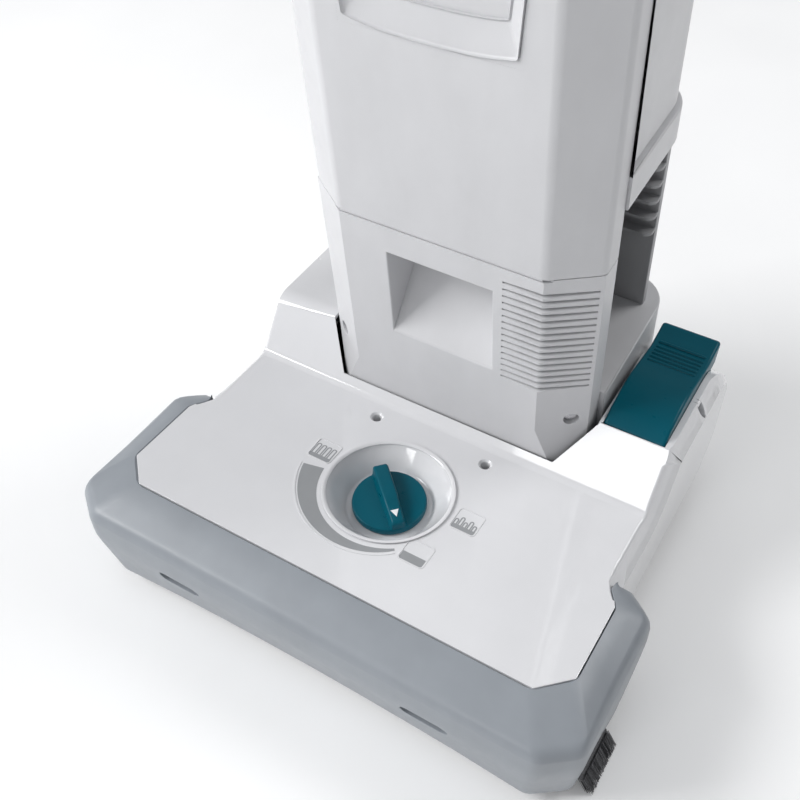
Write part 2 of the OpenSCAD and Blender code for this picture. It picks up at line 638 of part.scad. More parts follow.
module lock_pawl() color(steel) machine() difference() {
    union() {
        across(7, pawl_x) union() {
            translate([pawl_pin_y, pawl_pin_z]) circle(7);
            polygon([[pawl_pin_y, pawl_pin_z - 5], [pawl_pin_y + pawl_reach + 5, pawl_pin_z],
                [pawl_pin_y + pawl_reach + 5, pawl_pin_z + 6], [pawl_pin_y, pawl_pin_z + 6]]);
            polygon([[pawl_pin_y - bolt_back, pawl_pin_z - 4], [pawl_pin_y, pawl_pin_z - 6],
                [pawl_pin_y, pawl_pin_z + 6], [pawl_pin_y - bolt_back, pawl_pin_z + 4]]);
        }
        // lock bolt, through the bracket towards the body
        rod_x(bracket_in + 0.4, pawl_x, pawl_pin_y - bolt_back, pawl_pin_z, bolt_r);
    }
    rod_x(wheel_in, wheel_in + 12, pawl_pin_y, pawl_pin_z, pin_r + run_gap);
}

module head_screws() color(steel) machine() both_sides() difference() {
    union() {
        rod_z(screw_seat_z - 13, screw_seat_z + 0.1, screw_x, screw_y, 1.7);
        rod_z(screw_seat_z, screw_seat_z + 2.6, screw_x, screw_y, 3.2);
    }
    rod_z(screw_seat_z + 1.4, screw_seat_z + 3, screw_x, screw_y, 1.5);
}

// ---- upright body ----
// Half outline of the body's front part, drawn in by g, with the front face f wide each side
function front_half(g, f) = [[f - 0.35 * g, face_y + g], [side_half - g, face_y + corner_d + 0.6 * g],
    [side_half - g, seam_y - part_gap]];
module front_plan(g = 0, f = face_half) polygon(concat(front_half(g, f), mirrored(front_half(g, f))));
// Outline of the rear part: straight sides, rounded rear corners
module rear_plan(g = 0, half = side_half - 1, back = back_y) {
    w = half - g;
    b = back - g;
    translate([-w, seam_y]) square([2 * w, b - rear_corner_r + g - seam_y]);
    translate([-w + rear_corner_r - g, seam_y]) square([2 * (w - rear_corner_r + g), b - seam_y]);
    for (side = [-1, 1]) translate([side * (w - rear_corner_r + g), b - rear_corner_r + g])
        circle(rear_corner_r - g);
}
module flare(g) hull() {
    translate([0, 0, flare_top_z]) linear_extrude(eps) front_plan(g);
    translate([0, 0, skirt_z]) linear_extrude(eps) front_plan(g, flare_half);
}
function louvre_outline() = [
    [louvre_x, face_y - 1], [face_half + 0.3, face_y - 1], [side_half - 1.5, face_y + corner_d - 2.6],
    [side_half - 3.5, face_y + corner_d + 2], [face_half - 1.6, face_y + 4.2], [louvre_x, face_y + 4.2]
];
module screw_seat(d1, d2, r) both_sides() translate([seat_x, seat_y, seat_z]) rotate([90, 0, seat_turn])
    translate([0, 0, -d2]) cylinder(h = d2 - d1, r = r);
module lower_housing() color(body_grey) leaned() difference() {
    union() {
        difference() {
            union() {
                upright(flare_top_z, seam_z - part_gap) front_plan();
                flare(0);
            }
            upright(flare_top_z - eps, seam_z - part_gap - body_wall) front_plan(body_wall);
            flare(body_wall);
            block([-side_half + body_wall, face_y + corner_d + 4, skirt_z - 1],
                [side_half - body_wall, seam_y + 1, seam_z - part_gap - body_wall]);
            upright(skirt_z - 1, skirt_z + 0.5) front_plan(body_wall, flare_half);
        }
        // walls round the hand pocket
        block([-pocket_half - 2.5, face_y + 1, pocket_low_z - 2.5],
              [pocket_half + 2.5, face_y + pocket_deep + 2.5, pocket_low_z + pocket_h + 2.5]);
        screw_seat(0.6, seat_deep + 2.5, seat_r + 2.5);
    }
    // hand pocket: open at the front, with a floor that climbs to the back
    across(2 * pocket_half) polygon([
        [face_y - 1, pocket_low_z], [face_y + pocket_deep, pocket_low_z + pocket_h - 22],
        [face_y + pocket_deep, pocket_low_z + pocket_h], [face_y - 1, pocket_low_z + pocket_h]]);
    across(2 * pocket_half + 9) polygon([[face_y + 5, pocket_low_z - 9], [face_y + 5, pocket_low_z + 1],
        [face_y + pocket_deep + 3, pocket_low_z + pocket_h - 24],
        [face_y + pocket_deep + 3, pocket_low_z - 9]]);
    // groove that the hinge bead of the dust cover lies in
    block([-side_half, face_y - 1, bead_z - bead_r - 0.3], [side_half, bead_y + bead_r + slip, seam_z]);
    for (i = [0:louvre_count - 1]) translate([0, 0, louvre_top_z - i * louvre_step])
        linear_extrude(louvre_slot, center = true) polygon(louvre_outline());
    screw_seat(-9, seat_deep, seat_r);
    screw_seat(0, 20, 1.9);
}

module motor_housing() color(body_grey) leaned() difference() {
    union() {
        intersection() {
            union() {
                upright(skirt_z - 14, platform_z) rear_plan(0, base_block_half, base_block_back);
                block([-side_half + body_wall, face_y + corner_d + 5, skirt_z - 8],
                    [side_half - body_wall, seam_y + 1, platform_z]);
            }
            across(3 * side_half) polygon(concat([[seam_y - 17, skirt_z - 6], [seam_y - 17, platform_z],
                [base_block_back + 1, platform_z], [base_block_back + 1, platform_z - 36]],
                arc(pivot_y, pivot_z, barrel_r + 16, 22, 10, 3)));
        }
        // drums round the trunnions, either side of the air way
        both_sides() rod_x(drum_half + 1, base_block_half - 11, pivot_y, pivot_z, barrel_r);
        // port under the hose
        rod_z(port_z, platform_z, hose_x, hose_y, cuff_r);
    }
    rod_x(-drum_half, drum_half, pivot_y, pivot_z, drum_r + run_gap);
    // chamber for the fan's air
    block([-base_block_half + 8, seam_y - 8, skirt_z + 8],
        [base_block_half - 8, base_block_back - 34, platform_z - 4]);
    rod_z(platform_z - 9, platform_z + 1, riser_x, riser_y, riser_r + run_gap);
    rod_z(platform_z - 9, platform_z + 1, fan_x, fan_y, 20);
    rod_z(port_z + 2.5, platform_z + 1, hose_x, hose_y, hose_r - 4);
    along(base_block_back - 40, hose_y) translate([hose_x, platform_z - 11]) circle(5);
    both_sides() rod_x(drum_half, base_block_half + 9, pivot_y, pivot_z, trunnion_r);
}
module pivot_trunnions() color(steel) leaned() both_sides()
    rod_x(drum_half + 12, bracket_in + bracket_w + 1.5, pivot_y, pivot_z, trunnion_r);
module pivot_drum() color(black) leaned() difference() {
    rod_x(-drum_half, drum_half, pivot_y, pivot_z, drum_r);
    rod_x(-drum_half + 3, drum_half - 3, pivot_y, pivot_z, drum_r - 3);
    block([-26, pivot_y - 60, pivot_z - 24], [26, pivot_y, pivot_z - 2]);
    block([-26, pivot_y - 12, pivot_z], [26, pivot_y + 12, pivot_z + 60]);
}
module inner_column() color(black) leaned() difference() {
    union() {
        block([-column_half, seam_y + 4, platform_z], [column_half, spine_y, rear_low_z]);
        // web behind the front mouldings
        block([-side_half + body_wall, seam_y + 1, platform_z], [side_half - body_wall, seam_y + 4, rear_low_z]);
    }
    block([-column_half + 3, seam_y + 7, platform_z + 3], [column_half - 3, spine_y - 3, rear_low_z - 3]);
    rod_z(platform_z - 1, rear_low_z + 1, riser_x, riser_y, riser_r + run_gap);
    rod_z(platform_z - 1, platform_z + 9, fan_x, fan_y, 20);
    block([-column_half + 12, seam_y, platform_z + 30], [column_half - 12, seam_y + 9, rear_low_z - 30]);
}
module rear_spine() color(dark_grey) leaned() {
    block([-spine_half, spine_y, platform_z], [spine_half, spine_y + spine_t, rear_low_z]);
    for (i = [0:rib_count - 1]) translate([0, 0, rear_low_z - 34 - i * rib_step]) both_sides()
        linear_extrude(2.4) {
        translate([column_half, spine_y - 9]) square([spine_half - column_half - 6, 9.1]);
        translate([column_half, spine_y - 3]) square([spine_half - column_half, 3.1]);
        translate([spine_half - 6, spine_y - 3]) circle(6);
    }
}
module rear_housing() color(body_grey) leaned() difference() {
    union() {
        upright(rear_low_z, rear_low_z + band_h) rear_plan(-2, side_half, back_y + 2);
        upright(rear_low_z + band_h - 1, rear_low_z + band_h + 3) rear_plan(1.5);
        upright(rear_low_z + band_h + 2, cover_top_z) rear_plan();
    }
    translate([0, -1, 0]) upright(rear_low_z + 3, cover_top_z - 3) rear_plan(body_wall);
    block([-side_half + 4, seam_y - 9, rear_low_z + 3], [side_half - 4, seam_y + 4, cover_top_z - 3]);
    rod_z(rear_low_z - 1, rear_low_z + 9, riser_x, riser_y, riser_r + run_gap);
    block([-battery_w / 2 + 12, back_y - 9, battery_z + 20], [battery_w / 2 - 12, back_y + 9, battery_z + 34]);
}
module dust_cover() color(body_grey) leaned() difference() {
    union() {
        difference() {
            upright(seam_z, cover_top_z - 2.2) front_plan();
            upright(seam_z - 1, cover_top_z - 5) front_plan(body_wall);
            block([-side_half + body_wall, seam_y - 5, seam_z - 1],
                [side_half - body_wall, seam_y + 1, cover_top_z - 5]);
        }
        rod_x(-face_half + 1, face_half - 1, bead_y, bead_z, bead_r);
        // backing of the sunken panel
        block([-face_half + 12, face_y + 1, panel_recess_z - 10], [face_half - 12, face_y + 8, cover_top_z - 46]);
    }
    // sunken panel with slanted lower and upper edges
    across(2 * face_half - 34) polygon([[face_y - 1, panel_recess_z - 1], [face_y + 5.5, panel_recess_z + 15],
        [face_y + 5.5, cover_top_z - 62], [face_y - 1, cover_top_z - 52]]);
    block([-21, face_y - 1, cover_top_z - 30], [21, face_y + 9, cover_top_z + 1]);
}
module cover_latch() color(teal) leaned() {
    block([-20, face_y + 0.5, cover_top_z - 23], [20, face_y + 8, cover_top_z - 3]);
    block([-14, face_y - 1.5, cover_top_z - 18], [14, face_y + 1, cover_top_z - 8]);
}
module cover_seal() color(black) leaned() difference() {
    block([-side_half + 4, seam_y + 0.2, rear_low_z + 3], [side_half - 4, seam_y + 3.8, cover_top_z - 3]);
    block([-side_half + 11, seam_y - 1, rear_low_z + 10], [side_half - 11, seam_y + 5, cover_top_z - 10]);
}
module top_cap() color(body_grey) leaned() difference() {
    intersection() {
        upright(cover_top_z, cap_top_z) union() {
            front_plan();
            translate([0, -1]) rear_plan(0, side_half);
        }
        // front and top fall away in a slope
        across(3 * side_half) polygon([[face_y - 1, cover_top_z], [face_y - 1, cover_top_z + 26],
            [face_y + 44, cap_top_z], [back_y + 1, cap_top_z], [back_y + 1, cover_top_z]]);
        along(face_y - 9, back_y + 9) polygon([[-side_half - 1, cover_top_z], [-side_half - 1, cap_top_z - 26],
            [-side_half + 22, cap_top_z + 1], [side_half - 22, cap_top_z + 1], [side_half + 1, cap_top_z - 26],
            [side_half + 1, cover_top_z]]);
    }
    // hollow: low behind the slanted front, higher at the back
    upright(cover_top_z - 1, cover_top_z + 23) front_plan(body_wall);
    block([-side_half + 24, face_y + 28, cover_top_z - 1], [side_half - 24, seam_y + 1, cap_top_z - 30]);
    upright(cover_top_z - 1, cap_top_z - 30) translate([0, -4]) rear_plan(body_wall);
    rod_z(cap_top_z - 60, cap_top_z + 1, 0, tube_y, tube_r);
    block([-30, face_y - 1, cover_top_z + 9], [30, face_y + 1.2, cover_top_z + 21]);
}
module battery_gauge() color(black) leaned()
    block([-29.6, face_y - 0.2, cover_top_z + 9.4], [29.6, face_y + 1.2, cover_top_z + 20.6]);
module handle_socket() color(dark_grey) leaned() difference() {
    union() {
        rod_z(cap_top_z, cap_top_z + 34, 0, tube_y, tube_r + 7);
        block([-7, tube_y + tube_r + 2, cap_top_z], [7, tube_y + tube_r + 16, cap_top_z + 26]);
    }
    rod_z(cap_top_z - 1, cap_top_z + 35, 0, tube_y, tube_r);
}
module handle_tube() color(steel) leaned() difference() {
    rod_z(cap_top_z - 58, grip_low_z + 18, 0, tube_y, tube_r);
    rod_z(cap_top_z - 59, grip_low_z + 19, 0, tube_y, tube_r - 1.6);
}
// Closed loop of a round bar, standing front to back on the tube
module handle_grip() color(dark_grey) leaned() difference() {
    union() {
        rod_z(grip_low_z - 34, grip_low_z + 12, 0, tube_y, tube_r + 5);
        for (y = [-1, 1])
            rod_z(loop_z, loop_z + grip_h, 0, tube_y + y * loop_r, grip_r);
        for (z = [0, 1]) translate([0, tube_y, loop_z + z * grip_h]) rotate([z * 180, 0, 0])
            rotate([0, 0, 90]) rotate([-90, 0, 0])
                rotate_extrude(angle = 180) translate([loop_r, 0]) circle(grip_r);
    }
    rod_z(grip_low_z - 35, grip_low_z + 18.5, 0, tube_y, tube_r + run_gap);
    block([-9.5, tube_y - grip_d / 2 - 2, switch_z - 14], [9.5, tube_y - grip_d / 2 + 6, switch_z + 14]);
}
// Rocker on a round pin
module power_switch() color(teal) leaned() let (y = tube_y - grip_d / 2) {
    across(18, 0) polygon([[y + 3.6, switch_z - 12.5], [y - 1, switch_z - 12.5], [y + 1.2, switch_z],
        [y - 0.4, switch_z + 12.5], [y + 3.6, switch_z + 12.5]]);
    rod_x(-9, 9, y + 3, switch_z, 2);
}

module battery_cradle() color(dark_grey) leaned() difference() {
    block([-battery_w / 2 - 6, back_y, battery_z - 16],
        [battery_w / 2 + 6, battery_y + 22, battery_z + battery_h - 8]);
    block([-battery_w / 2 - slip, battery_y - slip, battery_z - slip],
        [battery_w / 2 + slip, battery_y + 2 * battery_d, battery_z + battery_h]);
    block([-battery_w / 2 - 9, battery_y + 8, battery_z + 30],
        [battery_w / 2 + 9, battery_y + 30, battery_z + battery_h]);
}
module battery_pack() color(black) leaned() difference() {
    union() {
        upright(battery_z, battery_z + battery_h) translate([0, (battery_y + battery_back_y) / 2])
            rounded(battery_w, battery_back_y - battery_y, 8);
        block([-battery_w / 2 + 10, battery_y, battery_z],
            [battery_w / 2 - 10, battery_y + 8, battery_z + battery_h]);
    }
    block([-17, battery_back_y - 11, battery_z + battery_h - 40],
        [17, battery_back_y + 12, battery_z + battery_h - 14]);
}
module battery_release() color(teal) leaned()
    block([-16.6, battery_back_y - 6.6, battery_z + battery_h - 39.6],
        [16.6, battery_back_y + 1, battery_z + battery_h - 14.4]);

module dust_bag() color("#e6e0d2") leaned() upright(rear_low_z + 12, cover_top_z - 62)
    translate([0, (face_y + riser_y - riser_r) / 2 + 4]) rounded(bag_w, riser_y - riser_r - face_y - 16, bag_r);
module bag_collar() color("#c9a878") leaned() difference() {
    block([-column_half + 2, face_y + 18, cover_top_z - 62], [column_half - 2, rear_inner_y, cover_top_z - 57]);
    rod_z(cover_top_z - 63, cover_top_z - 55, 0, face_y + 50, 18);
    rod_z(cover_top_z - 63, cover_top_z - 55, riser_x, riser_y, riser_r + run_gap);
}
module air_riser() color(dark_grey) leaned() difference() {
    rod_z(platform_z - 4, cover_top_z - 14, riser_x, riser_y, riser_r);
    rod_z(platform_z - 5, cover_top_z - 17, riser_x, riser_y, riser_r - 2);
    block([riser_x - 8, riser_y - 20, cover_top_z - 42], [riser_x + 8, riser_y, cover_top_z - 24]);
}
module fan_motor() color(steel) leaned() difference() {
    union() {
        rod_z(fan_z + impeller_h + 4, fan_z + 74, fan_x, fan_y, fan_r - 5);
        rod_z(platform_z + 3, fan_z + impeller_h + 5, fan_x, fan_y, fan_r);
    }
    rod_z(fan_z - 3, fan_z + impeller_h + 2, fan_x, fan_y, fan_r - 2);
    rod_z(platform_z + 2, fan_z + 9, fan_x, fan_y, 18);
    rod_z(fan_z, fan_z + 40, fan_x, fan_y, 4 + run_gap);
}
module fan_impeller() color(black) leaned() {
    rod_z(fan_z, fan_z + 38, fan_x, fan_y, 4);
    rod_z(fan_z, fan_z + 2, fan_x, fan_y, fan_r - 4);
    for (a = [0:45:315]) translate([fan_x, fan_y, fan_z + 1]) rotate([0, 0, a])
        block([3, -1, 0], [fan_r - 5, 1, impeller_h - 2]);
}
module exhaust_filter() color("#ecece6") leaned()
    block([louvre_x + 1, face_y + corner_d + 3, louvre_top_z - 86],
        [side_half - 7, seam_y + 1, louvre_top_z + 4]);
module control_board() color("#2f6b3a") leaned()
    block([-board_half, tube_y - 44, cover_top_z + 12], [board_half, tube_y - 42, cap_top_z - 30]);

module hose() color(dark_grey) leaned() difference() {
    union() {
        rod_z(hose_low_z, hose_top_z, hose_x, hose_y, hose_r - 2);
        for (z = [hose_low_z + 3:6:hose_top_z - 4]) rod_z(z, z + 3, hose_x, hose_y, hose_r);
    }
    rod_z(hose_low_z - 1, hose_top_z + 1, hose_x, hose_y, hose_r - 4);
}
module hose_cuffs() color(black) leaned() {
    difference() {
        rod_z(platform_z, hose_low_z, hose_x, hose_y, cuff_r);
        rod_z(platform_z - 1, hose_low_z + 1, hose_x, hose_y, hose_r - 4);
    }
    difference() {
        union() {
            rod_z(hose_top_z, hose_top_z + 24, hose_x, hose_y, cuff_r);
            rod_z(hose_top_z, hose_top_z + 24, -hose_x, hose_y, cuff_r);
            translate([0, hose_y, hose_top_z + 23]) rotate([90, 0, 0]) rotate_extrude(angle = 180)
                translate([hose_x, 0]) circle(hose_r + 1);
        }
        rod_z(hose_top_z - 1, hose_top_z + 20, hose_x, hose_y, hose_r - 4);
        rod_z(hose_top_z - 1, hose_top_z + 20, -hose_x, hose_y, wand_r);
    }
}
module suction_wand() color(steel) leaned() difference() {
    rod_z(hose_low_z - 10, hose_top_z + 19, -hose_x, hose_y, wand_r);
    rod_z(hose_low_z - 11, hose_top_z + 18, -hose_x, hose_y, wand_r - 1.5);
}
module wand_clips() color(dark_grey) leaned() {
    // cup that the crevice tool stands in
    difference() {
        upright(tool_z - 4, tool_z + 26) translate([-tool_x, tool_y]) square(tool_w + 8, center = true);
        upright(tool_z - slip, tool_z + 27) translate([-tool_x, tool_y])
            rounded(tool_w + 2 * slip, tool_w + 2 * slip, 7);
    }
    for (z = [rear_low_z - 60, hose_top_z - 40]) let (y = z < rear_low_z ? spine_y + spine_t : back_y)
        difference() {
        union() {
            rod_z(z, z + 16, -hose_x, hose_y, wand_r + 3);
            rod_z(z, z + 16, hose_x, hose_y, hose_r + 3);
            block([-hose_x - 10, y, z], [hose_x + 10, hose_y - 10, z + 16]);
        }
        rod_z(z - 1, z + 17, -hose_x, hose_y, wand_r);
        rod_z(z - 1, z + 17, hose_x, hose_y, hose_r + run_gap);
        block([hose_x - 9, hose_y, z - 1], [hose_x + 9, hose_y + 30, z + 17]);
    }
}
module crevice_tool() color(black) leaned() difference() {
    upright(tool_z, tool_z + tool_len) translate([-tool_x, tool_y]) rounded(tool_w, tool_w, 7);
    // slanted mouth at its foot, socket at its head
    along(back_y, back_y + 40)
        polygon([[-tool_x - 12, tool_z - 1], [-tool_x - 12, tool_z + 120], [-tool_x - 3, tool_z - 1]]);
    rod_z(tool_z + tool_len - 40, tool_z + tool_len + 1, -tool_x, tool_y, 8);
}
module body_screws() color(steel) leaned() {
    screw_seat(seat_deep - 2.2, seat_deep, 4);
    screw_seat(seat_deep - 0.1, seat_deep + 2.4, 1.8);
}

head_base();
head_cover();
bumper();
edge_brushes();
sole_plate();
roller_bearings();
brush_motor();
drive_belt();
suction_duct();
dial_cup();
rear_axles();
pedal_pins();
pedal_spring();
head_screws();
roller_core();
roller_bristles();
roller_pulley();
motor_pulley();
height_knob();
height_cam();
front_carriage();
front_rollers();
rear_wheel_left();
rear_tyre_left();
rear_wheel_right();
rear_tyre_right();
release_pedal();
lock_pawl();
pivot_trunnions();
pivot_drum();
motor_housing();
lower_housing();
inner_column();
rear_spine();
rear_housing();
cover_seal();
top_cap();
handle_socket();
handle_tube();
handle_grip();
battery_cradle();
dust_bag();
bag_collar();
air_riser();
fan_motor();
exhaust_filter();
control_board();
battery_gauge();
hose();
hose_cuffs();
suction_wand();
wand_clips();
body_screws();
dust_cover();
cover_latch();
fan_impeller();
battery_pack();
battery_release();
crevice_tool();
power_switch();
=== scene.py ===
"""Looks of an upright brush vacuum: rounded mouldings, dial, louvres, pedal, bag, hose and studio.

Sizes are millimetres in machine coordinates (y = 0 at the bumper's front); pieces of the upright body
are drawn upright and then leaned about the tilt axis.
"""
import json
import logging
import math
from collections.abc import Callable, Iterator, Sequence
from contextlib import contextmanager
from dataclasses import dataclass
from enum import Enum

import bmesh
import bpy
from mathutils import Matrix, Vector

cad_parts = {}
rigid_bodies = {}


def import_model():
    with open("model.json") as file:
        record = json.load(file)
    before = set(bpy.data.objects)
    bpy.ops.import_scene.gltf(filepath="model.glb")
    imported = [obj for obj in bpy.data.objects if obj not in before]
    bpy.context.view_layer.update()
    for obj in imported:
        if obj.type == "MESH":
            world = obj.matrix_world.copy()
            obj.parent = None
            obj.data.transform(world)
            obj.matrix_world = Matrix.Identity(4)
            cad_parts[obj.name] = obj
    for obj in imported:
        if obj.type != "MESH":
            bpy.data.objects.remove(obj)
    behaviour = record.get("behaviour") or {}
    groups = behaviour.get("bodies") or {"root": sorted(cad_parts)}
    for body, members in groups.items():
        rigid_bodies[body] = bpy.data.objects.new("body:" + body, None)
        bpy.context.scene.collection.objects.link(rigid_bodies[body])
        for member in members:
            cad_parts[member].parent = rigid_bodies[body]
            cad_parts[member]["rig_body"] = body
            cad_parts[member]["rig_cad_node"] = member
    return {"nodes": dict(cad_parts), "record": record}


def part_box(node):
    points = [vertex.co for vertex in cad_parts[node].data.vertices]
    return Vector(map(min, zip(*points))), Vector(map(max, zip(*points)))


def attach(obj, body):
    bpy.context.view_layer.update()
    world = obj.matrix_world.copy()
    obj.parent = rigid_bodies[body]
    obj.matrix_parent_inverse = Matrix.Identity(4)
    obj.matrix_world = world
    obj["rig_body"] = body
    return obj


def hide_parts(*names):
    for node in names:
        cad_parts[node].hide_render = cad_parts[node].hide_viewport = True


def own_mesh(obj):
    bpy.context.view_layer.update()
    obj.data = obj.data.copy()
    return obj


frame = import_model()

LOG = logging.getLogger("scene")
MM = 0.001
UP = Vector((0, 0, 1))
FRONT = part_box("bumper")[0].y
LEAN_DEG = 4.5
PANEL_Z = 95
PANEL_Y = 34
PANEL_SLOPE = 7 / 156
WELD = 2e-6
COPY_WELD = 1e-5
FLAT_DEG = 12
SMOOTH_DEG = 34
PIVOT = Vector((0, FRONT + 280 * MM, 72 * MM))
LEANED = (Matrix.Translation(PIVOT) @ Matrix.Rotation(math.radians(LEAN_DEG), 4, "X")
          @ Matrix.Translation(-PIVOT))
BODY_OF = {node: body for body, nodes in frame["record"]["behaviour"]["bodies"].items() for node in nodes}
SLOT_OF = {part["node"]: part["material_slot"] for part in frame["record"]["subparts"]}

Pair = tuple[float, float]
Triple = tuple[float, float, float]
Object = bpy.types.Object
Socket = bpy.types.NodeSocket


class Side(Enum):
    """Side of the machine, by the sign of x."""

    LEFT = -1
    RIGHT = 1


class Pile(Enum):
    """Carpet pile drawn on a tile beside the dial."""

    LONG = "long"
    MIXED = "mixed"
    BARE = "bare"


# ---------------------------------------------------------------- modelling helpers


def at(x: float, y: float, z: float) -> Vector:
    """Point in machine millimetres, as a place in the scene."""
    return Vector((x * MM, y * MM + FRONT, z * MM))


def rise(height: float) -> Vector:
    """Step upwards by a height in mm."""
    return Vector((0, 0, height * MM))


def on_circle(x: float, y: float, radius: float, degrees: float) -> Pair:
    """Point on a circle round x, y."""
    a = math.radians(degrees)
    return (x + radius * math.cos(a), y + radius * math.sin(a))


def panel_height(y: float) -> float:
    """Height of the head's top panel at y."""
    return PANEL_Z - PANEL_SLOPE * (y - PANEL_Y)


def deselect() -> None:
    """Clears the selection."""
    bpy.ops.object.select_all(action="DESELECT")


def activate(obj: Object) -> None:
    """Makes obj the only selected and the active object."""
    deselect()
    obj.select_set(True)
    bpy.context.view_layer.objects.active = obj


@contextmanager
def editing(obj: Object, mode: str = "EDGE", whole: bool = False) -> Iterator[None]:
    """Holds obj in edit mode, with all of it or nothing selected.

    Args:
        obj: the mesh object to edit.
        mode: select mode, VERT, EDGE or FACE.
        whole: whether all of it is selected.
    """
    activate(obj)
    bpy.ops.object.mode_set(mode="EDIT")
    bpy.ops.mesh.select_mode(type=mode)
    bpy.ops.mesh.select_all(action="SELECT" if whole else "DESELECT")
    try:
        yield
    finally:
        bpy.ops.object.mode_set(mode="OBJECT")


def modify(obj: Object, kind: str, **settings: object) -> None:
    """Adds a modifier to obj and applies it.

    Args:
        obj: the object to change.
        kind: the modifier's type.
        settings: values set on the modifier before it is applied.
    """
    activate(obj)
    modifier = obj.modifiers.new(kind.lower(), kind)
    for name, value in settings.items():
        setattr(modifier, name, value)
    bpy.ops.object.modifier_apply(modifier=modifier.name)


def apply_place(obj: Object) -> None:
    """Moves the object's place into its mesh."""
    activate(obj)
    bpy.ops.object.transform_apply(location=True, rotation=True, scale=True)


def turn_into(obj: Object, matrix: Matrix) -> None:
    """Turns obj's mesh by a matrix, leaving the object at the origin."""
    obj.matrix_world = matrix @ obj.matrix_world
    apply_place(obj)


def lean(obj: Object) -> None:
    """Leans an upright piece as the parked body leans."""
    turn_into(obj, LEANED)


def smooth(obj: Object, angle: float = SMOOTH_DEG) -> None:
    """Shades obj smooth, keeps edges over the angle sharp, and weights its normals by area."""
    activate(obj)
    bpy.ops.object.shade_smooth_by_angle(angle=math.radians(angle))
    modify(obj, "WEIGHTED_NORMAL", keep_sharp=True, weight=60)


def trace(name: str, points: Sequence[Vector], closed: bool = False) -> Object:
    """Draws a chain of edges through points.

    Args:
        name: name of the new object.
        points: corners of the chain, in order.
        closed: whether a face fills the outline.

    Returns:
        The new mesh object, at the origin.
    """
    deselect()
    bpy.ops.mesh.primitive_plane_add(size=MM, location=points[0])
    obj = bpy.context.object
    obj.name = name
    with editing(obj, "VERT", True):
        bpy.ops.mesh.merge(type="CENTER")
        for here, there in zip(points, points[1:]):
            bpy.ops.mesh.extrude_region_move(TRANSFORM_OT_translate={"value": there - here})
        if closed:
            bpy.ops.mesh.select_all(action="SELECT")
            bpy.ops.mesh.edge_face_add()
    apply_place(obj)
    return obj


def clean(obj: Object) -> None:
    """Merges doubled points and turns the faces outwards."""
    with editing(obj, "VERT", True):
        bpy.ops.mesh.remove_doubles(threshold=WELD)
        bpy.ops.mesh.normals_make_consistent(inside=False)


def prism(name: str, outline: Sequence[Vector], depth: Vector) -> Object:
    """Extrudes an outline.

    Args:
        name: name of the new object.
        outline: corners of the outline, in order.
        depth: how far and which way it is extruded.

    Returns:
        The closed solid.
    """
    obj = trace(name, outline, closed=True)
    with editing(obj, "FACE", True):
        bpy.ops.mesh.extrude_region_move(TRANSFORM_OT_translate={"value": depth})
    clean(obj)
    return obj


def lathe(name: str, profile: Sequence[Vector], centre: Vector, axis: Vector, steps: int = 64,
          angle: float = 360) -> Object:
    """Spins a profile round an axis.

    Args:
        name: name of the new object.
        profile: points of the profile.
        centre: a point on the axis.
        axis: direction of the axis.
        steps: segments of the turn.
        angle: degrees of the turn.

    Returns:
        The turned surface.
    """
    obj = trace(name, profile)
    with editing(obj, "VERT", True):
        bpy.ops.mesh.spin(steps=steps, angle=math.radians(angle), center=centre, axis=axis)
    clean(obj)
    return obj


def turned(name: str, x: float, y: float, profile: Sequence[Pair], steps: int) -> Object:
    """Spins a profile of radius and height round an upright axis at x, y."""
    return lathe(name, [at(x + r, y, z) for r, z in profile], at(x, y, 0), UP, steps)


def loft(name: str, rings: Sequence[Sequence[Vector]]) -> Object:
    """Closed solid through rings: the first ring is filled, and its face extruded from ring to ring.

    Args:
        name: name of the new object.
        rings: equally long closed rings, in order along the piece.

    Returns:
        The closed solid.
    """
    obj = trace(name, rings[0], closed=True)
    with editing(obj, "FACE", True):
        for last, ring in zip(rings, rings[1:]):
            bpy.ops.mesh.extrude_region()
            mesh = bmesh.from_edit_mesh(obj.data)
            for vert in [v for v in mesh.verts if v.select]:
                near = min(range(len(last)), key=lambda i: (last[i] - vert.co).length_squared)
                vert.co = ring[near]
            bmesh.update_edit_mesh(obj.data)
    clean(obj)
    return obj


def fillet(before: Pair, corner: Pair, after: Pair, reach: float, steps: int = 5) -> list[Pair]:
    """Points of a rounded corner.

    Args:
        before: the point before the corner.
        corner: the corner itself.
        after: the point after it.
        reach: how far along both sides the rounding starts.
        steps: how many points it has.

    Returns:
        Points from one side to the other.
    """
    middle = Vector(corner)
    start = middle + (Vector(before) - middle).normalized() * reach
    end = middle + (Vector(after) - middle).normalized() * reach
    points = []
    for i in range(steps):
        t = i / (steps - 1)
        points.append(tuple(start * (1 - t) ** 2 + middle * 2 * t * (1 - t) + end * t * t))
    return points


def box(name: str, lo: Vector, hi: Vector) -> Object:
    """Block between two corners, as a start for a piece."""
    deselect()
    bpy.ops.mesh.primitive_cube_add(size=1, location=(lo + hi) / 2, scale=hi - lo)
    obj = bpy.context.object
    obj.name = name
    apply_place(obj)
    return obj


def copy_of(obj: Object, name: str, matrix: Matrix) -> Object:
    """Copy of obj with a mesh of its own, moved by a matrix."""
    twin = obj.copy()
    twin.data = obj.data.copy()
    twin.name = name
    bpy.context.scene.collection.objects.link(twin)
    turn_into(twin, matrix)
    return twin


def join(name: str, parts: Sequence[Object]) -> Object:
    """Joins objects into the first of them."""
    activate(parts[0])
    for part in parts:
        part.select_set(True)
    if len(parts) > 1:
        bpy.ops.object.join()
    parts[0].name = name
    return parts[0]


def subtract(obj: Object, cutter: Object, solver: str = "EXACT") -> None:
    """Cuts one solid from another and removes the cutter."""
    modify(obj, "BOOLEAN", operation="DIFFERENCE", object=cutter, solver=solver)
    bpy.data.objects.remove(cutter)


